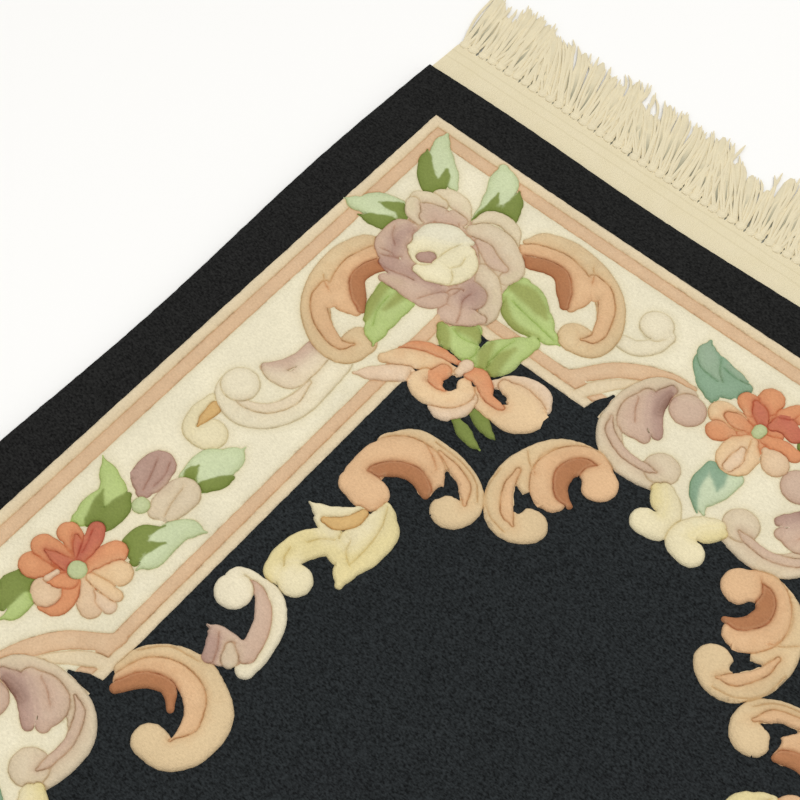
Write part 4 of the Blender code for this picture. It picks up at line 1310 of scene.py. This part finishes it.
def move_points(piece, way):
    """Moves a piece's points: way takes them as rows of X, Y and Z in metres and gives them back."""
    flat = np.empty(len(piece.data.vertices) * 3)
    piece.data.vertices.foreach_get("co", flat)
    piece.data.vertices.foreach_set("co", way(flat.reshape(-1, 3)).ravel())
    piece.data.update()


# How much the flat ends' top ripples, and in waves how long, in millimetres
WEAVE_RIPPLE = 0.25
WEAVE_WAVE = 45


def laid_weave(places):
    """Follows the knotting's wander, and lets the flat ends' top ripple a little."""
    chart = np.column_stack([places[:, 0] / MM + PILE_WIDTH / 2, PILE_LENGTH / 2 - places[:, 1] / MM])
    top = places[:, 2] > 2 * MM
    ripple = rippled(chart, WEAVE_WAVE, 6) * WEAVE_RIPPLE * MM
    return np.column_stack([wandered(chart), places[:, 2] + np.where(top, ripple, 0)])


# The edge cords: their sides, their steps along the rug, and the share of their radius that lies in the pile
CORD_SIDES = 12
CORD_STEPS = 120
CORD_IN_PILE = 0.3


class RUG_OT_edges(bpy.types.Operator):
    """Overcasts both long edges of the pile with black wool over a cord"""

    bl_idname = "rug.edges"
    bl_label = "Overcast edges"

    def execute(self, context):
        radius = context.scene.rug_sizes.cord / 2
        material = overcast_wool("overcast_black_wool", yarn_colour("black"))
        for name, side in (("edge_cord_left", -1), ("edge_cord_right", 1)):
            x = side * (PILE_WIDTH / 2 * MM - CORD_IN_PILE * radius)
            deselect()
            bpy.ops.mesh.primitive_circle_add(
                vertices=CORD_SIDES, radius=radius, fill_type="NGON",
                location=(x, -PILE_LENGTH / 2 * MM, radius), rotation=(math.pi / 2, 0, 0),
            )
            piece = context.object
            bpy.ops.object.transform_apply(location=True, rotation=True, scale=True)
            edit(piece)
            for _ in range(CORD_STEPS):
                move = {"value": (0, PILE_LENGTH * MM / CORD_STEPS, 0)}
                bpy.ops.mesh.extrude_region_move(TRANSFORM_OT_translate=move)
            close(piece, 50, laid_weave)
            finished(piece, name, material, "rug")
        return {"FINISHED"}


# The fringe, in millimetres: where the warps leave the flat weave, and where the knots sit beyond it
WARPS_TO_A_KNOT = 7
LEAVE = FLAT_END_LENGTH - 1.5
KNOT_OUT = FLAT_END_LENGTH + 5.0
STRAND_STEPS = 13
STRAND_SIDES = 5
LOCK_SIDES = 8
# How far a side of a strand is turned round it on the map that its plies are drawn on
TWIST = 1.2
# The strands lie combed together in bunches, each about so wide and longest at its start
BUNCH = 60.0
BUNCH_START = 277.0
BUNCH_SHORT = 0.36
# Along the fringe the strands lean by turns less and more, in radians: the lean, its wave's height, length
# and start, and how far from the first corner the strands come to lean in full
LEAN = -0.28
LEAN_WAVE = 0.21
LEAN_LENGTH = 100.0
LEAN_START = 255.0
LEAN_IN_FULL = 110.0


def combed(u, chance):
    """How long the strands of a knot at u are, as a share of the longest, and how they lean, in radians."""
    bunch = ((u - BUNCH_START) / BUNCH + 0.13 * math.sin(u / 37)) % 1
    lean = LEAN + LEAN_WAVE * math.cos(2 * math.pi * (u - LEAN_START) / LEAN_LENGTH)
    lean *= min(1, 0.2 + u / LEAN_IN_FULL)
    return 1 - BUNCH_SHORT * bunch**2.2 + chance.gauss(0, 0.015), lean


def strand_line(knot_u, warp, sizes, chance):
    """The middle line of one strand, as u, distance out from the pile and height."""
    radius = sizes.strand / 2 / MM
    share = (warp - (WARPS_TO_A_KNOT - 1) / 2) / WARPS_TO_A_KNOT
    lower = warp % 2 == 0
    length, lean = combed(knot_u, chance)
    length *= (sizes.reach / MM - KNOT_OUT) * (0.97 - 0.05 * abs(chance.gauss(0, 1)))
    lean += 0.1 * share + chance.gauss(0, 0.05) - (0 if lower else 0.12 * chance.random())
    sway, phase = chance.uniform(0.03, 0.13), chance.uniform(0, 6)
    curl = -0.6 * abs(chance.gauss(0.6, 0.8))
    layer = radius * (0.9 if lower else 1.6 + 0.6 * chance.random())
    start = knot_u + share * KNOT_PITCH
    line = [(start, LEAVE, radius + 0.3), (start - 0.3 * share * KNOT_PITCH, KNOT_OUT - 2.0, radius + 1.2)]
    u, out = knot_u + 0.7 * share * KNOT_PITCH, KNOT_OUT + 1.5
    steps = STRAND_STEPS - 3
    for k in range(steps + 1):
        t = k / steps
        line.append((u, out, radius + layer * (1 - 0.6 * max(0, t - 0.6) / 0.4) + 1.0 * (1 - t) ** 5))
        turn = lean + sway * math.sin(5 * t + phase) + curl * max(0, t - 0.7) * 2.5
        fan = share * 0.3 * (1 - t) ** 2
        u += length / steps * math.sin(turn + fan)
        out += length / steps * math.cos(turn + fan)
    return line


# Half width and half thickness along a lock and a knot, in millimetres
LOCK_WIDE = (5.2, 5.2, 5.2, 5.0, 5.0, 5.3, 5.6, 5.8, 5.8, 5.6, 5.2, 4.4, 1.2)
LOCK_THICK = (0.7, 0.8, 0.9, 1.0, 1.1, 1.3, 1.6, 1.8, 1.9, 1.8, 1.5, 1.1, 0.5)
KNOT_WIDE = (2.4, 4.0, 4.9, 5.1, 4.9, 4.2, 2.6)
KNOT_THICK = (0.8, 1.5, 2.0, 2.2, 2.1, 1.7, 0.9)
# How much of a lock is painted in shade under the strands: the place along it, and the share
LOCK_SHADE = ((0, 1.0), (4, 0.8), (8, 0.1))


def lock_line(knot_u, sizes, chance):
    """The middle line of the matted lock of warp ends that lies under a knot's strands."""
    length, lean = combed(knot_u, chance)
    length *= (sizes.reach / MM - KNOT_OUT) * 0.93
    line = [(knot_u, LEAVE, 1.4), (knot_u, KNOT_OUT - 1, 1.8)]
    u, out = knot_u, KNOT_OUT + 2.0
    steps = len(LOCK_WIDE) - 3
    for k in range(steps + 1):
        line.append((u, out, 1.6))
        turn = lean - 0.06 - 0.5 * max(0, k / steps - 0.75) * chance.random()
        u += length / steps * math.sin(turn)
        out += length / steps * math.cos(turn)
    return line


def knot_line(u, chance):
    """The middle line of a knot: a short lump a little askew."""
    skew, shift = chance.uniform(-0.25, 0.25), chance.uniform(-0.8, 0.8)
    steps = np.linspace(-1, 1, len(KNOT_WIDE)) * chance.uniform(4.6, 5.6)
    return np.column_stack([u + skew * steps, KNOT_OUT + shift + steps, 2.9 + 0 * steps])


def tube(line, wide, thick, sides):
    """Rings of points round a line, their faces, and how far round and along each corner of a face is."""
    line = np.array(line, float)
    ahead = np.gradient(line, axis=0)
    ahead /= np.linalg.norm(ahead, axis=1)[:, None]
    across = np.cross(ahead, (0, 0, 1))
    across /= np.linalg.norm(across, axis=1)[:, None]
    up = np.cross(across, ahead)
    turns = np.linspace(0, 2 * math.pi, sides, endpoint=False)
    wide, thick = np.array(wide)[:, None, None], np.array(thick)[:, None, None]
    rings = line[:, None] + wide * np.cos(turns)[None, :, None] * across[:, None]
    rings = rings + thick * np.sin(turns)[None, :, None] * up[:, None]
    along = np.concatenate([[0], np.cumsum(np.linalg.norm(np.diff(line, axis=0), axis=1))])
    faces, maps = [], []
    for i in range(len(line) - 1):
        for j in range(sides):
            k = (j + 1) % sides
            faces.append((i * sides + j, i * sides + k, (i + 1) * sides + k, (i + 1) * sides + j))
            maps += [(j * TWIST, along[i]), ((j + 1) * TWIST, along[i])]
            maps += [((j + 1) * TWIST, along[i + 1]), (j * TWIST, along[i + 1])]
    last = (len(line) - 1) * sides
    faces += [tuple(range(last, last + sides)), tuple(reversed(range(sides)))]
    maps += [(j * TWIST, along[-1]) for j in range(sides)]
    maps += [(j * TWIST, 0.0) for j in reversed(range(sides))]
    return rings.reshape(-1, 3), faces, maps


def fringe_piece(name, at_back, context):
    """One end's fringe: the warp ends that leave the weave, their knots, and their free strands."""
    sizes = context.scene.rug_sizes
    chance = random.Random(name)
    strand = np.full(STRAND_STEPS, sizes.strand / 2 / MM)
    strand[-1] *= 0.3
    points, faces, maps, deep, count = [], [], [], [], 0
    for i in range(KNOT_COUNT):
        knot_u = PILE_WIDTH / 2 + (i - (KNOT_COUNT - 1) / 2) * KNOT_PITCH + chance.uniform(-0.8, 0.8)
        lines = [strand_line(knot_u, warp, sizes, chance) for warp in range(WARPS_TO_A_KNOT)]
        tubes = [tube(line, 1.12 * strand, 0.8 * strand, STRAND_SIDES) for line in lines]
        tubes.append(tube(knot_line(knot_u, chance), KNOT_WIDE, KNOT_THICK, LOCK_SIDES))
        tubes.append(tube(lock_line(knot_u, sizes, chance), LOCK_WIDE, LOCK_THICK, LOCK_SIDES))
        for rings, own_faces, own_maps in tubes:
            points.append(rings)
            faces += [[count + k for k in face] for face in own_faces]
            maps += own_maps
            count += len(rings)
            deep.append(np.zeros(len(rings)))
        # Each lock's painted shade, strongest at its knot
        deep[-1] = np.repeat(np.interp(np.arange(len(LOCK_WIDE)), *zip(*LOCK_SHADE)), LOCK_SIDES)
    points = np.vstack(points)
    out = -points[:, 1] if at_back else PILE_LENGTH + points[:, 1]
    flat = wandered(np.column_stack([points[:, 0], out]))
    piece = new_piece(name, np.column_stack([flat, points[:, 2] * MM]), faces)
    piece.data.uv_layers.new(name="strand").data.foreach_set("uv", np.array(maps, np.float32).ravel())
    give_values(piece, "deep", np.concatenate(deep))
    edit(piece)
    close(piece, 60)
    return piece


class RUG_OT_fringes(bpy.types.Operator):
    """Knots the fringe of each end out of the cotton warps"""

    bl_idname = "rug.fringes"
    bl_label = "Fringes"

    def execute(self, context):
        material = twisted_cotton("twisted_cotton", yarn_colour("cotton"))
        for end, at_back in (("back", True), ("front", False)):
            piece = fringe_piece("warp_ends_" + end, at_back, context)
            finished(piece, "warp_ends_" + end, material, "fringe_" + end)
        return {"FINISHED"}


# The camera: where it stands, in metres, its angles, in degrees, and its lens and sensor, in millimetres
CAMERA_PLACE = (0.2043, -0.1797, 1.2859)
CAMERA_AZIMUTH = 34.95
CAMERA_ELEVATION = 58.48
CAMERA_ROLL = 5.59
CAMERA_LENS = 80.9
CAMERA_SENSOR = 36


class RUG_OT_stage(bpy.types.Operator):
    """Sets the pale floor, the soft lights and the camera"""

    bl_idname = "rug.stage"
    bl_label = "Stage"

    def execute(self, context):
        deselect()
        bpy.ops.mesh.primitive_plane_add(size=12, location=(0, 0, -0.2 * MM))
        floor = context.object
        floor.name = "floor"
        material, tree, shader = new_material("matt_white_floor")
        place = node(tree, "TexCoord", out="Object")
        uneven = node(tree, "TexNoise", {"Vector": place, "Scale": patch_scale(400)})
        paint = {0: uneven, 6: linear("f2f1ee") + [1], 7: linear("f5f4f1") + [1]}
        paint = node(tree, "Mix", paint, out=2, data_type="RGBA")
        tree.links.new(paint, shader.inputs["Base Color"])
        shader.inputs["Roughness"].default_value = 0.9
        floor.data.materials.append(material)
        self.light(context, "overhead_softbox", (0.4, 0.9, 3.2), 2.4, 62)
        self.light(context, "fill_softbox", (-2.2, -1.2, 2.2), 2.0, 18)
        world = bpy.data.worlds.new("studio")
        world.use_nodes = True
        world.node_tree.nodes["Background"].inputs[0].default_value = (1, 1, 1, 1)
        world.node_tree.nodes["Background"].inputs[1].default_value = 0.55
        context.scene.world = world
        context.scene.view_settings.view_transform = "Standard"
        tilt, turn = math.radians(90 - CAMERA_ELEVATION), math.radians(CAMERA_AZIMUTH)
        bpy.ops.object.camera_add(location=CAMERA_PLACE, rotation=(tilt, 0, turn))
        camera = context.object
        camera.name = "camera"
        camera.rotation_mode = "QUATERNION"
        camera.rotation_quaternion = camera_turn(tilt, turn)
        camera.data.lens = CAMERA_LENS
        camera.data.sensor_width = CAMERA_SENSOR
        camera.data.clip_start = 0.01
        context.scene.camera = camera
        return {"FINISHED"}

    def light(self, context, name, place, size, watts):
        """A square soft light that faces the rug's middle."""
        data = bpy.data.lights.new(name, "AREA")
        data.size = size
        data.energy = watts
        lamp = bpy.data.objects.new(name, data)
        context.scene.collection.objects.link(lamp)
        lamp.location = place
        lamp.rotation_mode = "QUATERNION"
        lamp.rotation_quaternion = lamp.location.to_track_quat("Z", "Y")


def camera_turn(tilt, turn):
    """The camera's rotation: tilted up from straight down, turned about Z, and rolled about its own axis."""
    roll = Quaternion((0, 0, 1), math.radians(CAMERA_ROLL))
    return Quaternion((0, 0, 1), turn) @ Quaternion((1, 0, 0), tilt) @ roll


class RUG_PT_panel(bpy.types.Panel):
    """Lists the rug's pieces and sizes"""

    bl_idname = "RUG_PT_panel"
    bl_label = "Carved wool rug"
    bl_space_type = "VIEW_3D"
    bl_region_type = "UI"
    bl_category = "Rug"

    def draw(self, context):
        for operator in OPERATORS:
            self.layout.operator(operator.bl_idname)
        for group in (context.scene.rug_sizes, context.scene.rug_yarns):
            box = self.layout.box()
            for name in type(group).__annotations__:
                box.prop(group, name)


OPERATORS = (RUG_OT_foundation, RUG_OT_pile, RUG_OT_edges, RUG_OT_fringes, RUG_OT_stage)
CLASSES = (RUG_PG_sizes, RUG_PG_yarns) + OPERATORS + (RUG_PT_panel,)


def register():
    for kind in CLASSES:
        bpy.utils.register_class(kind)
    bpy.types.Scene.rug_sizes = bpy.props.PointerProperty(type=RUG_PG_sizes)
    bpy.types.Scene.rug_yarns = bpy.props.PointerProperty(type=RUG_PG_yarns)


def unregister():
    del bpy.types.Scene.rug_yarns
    del bpy.types.Scene.rug_sizes
    for kind in reversed(CLASSES):
        bpy.utils.unregister_class(kind)


def main():
    register()
    bpy.ops.rug.foundation()
    bpy.ops.rug.pile()
    bpy.ops.rug.edges()
    bpy.ops.rug.fringes()
    bpy.ops.rug.stage()


if __name__ == "__main__":
    main()
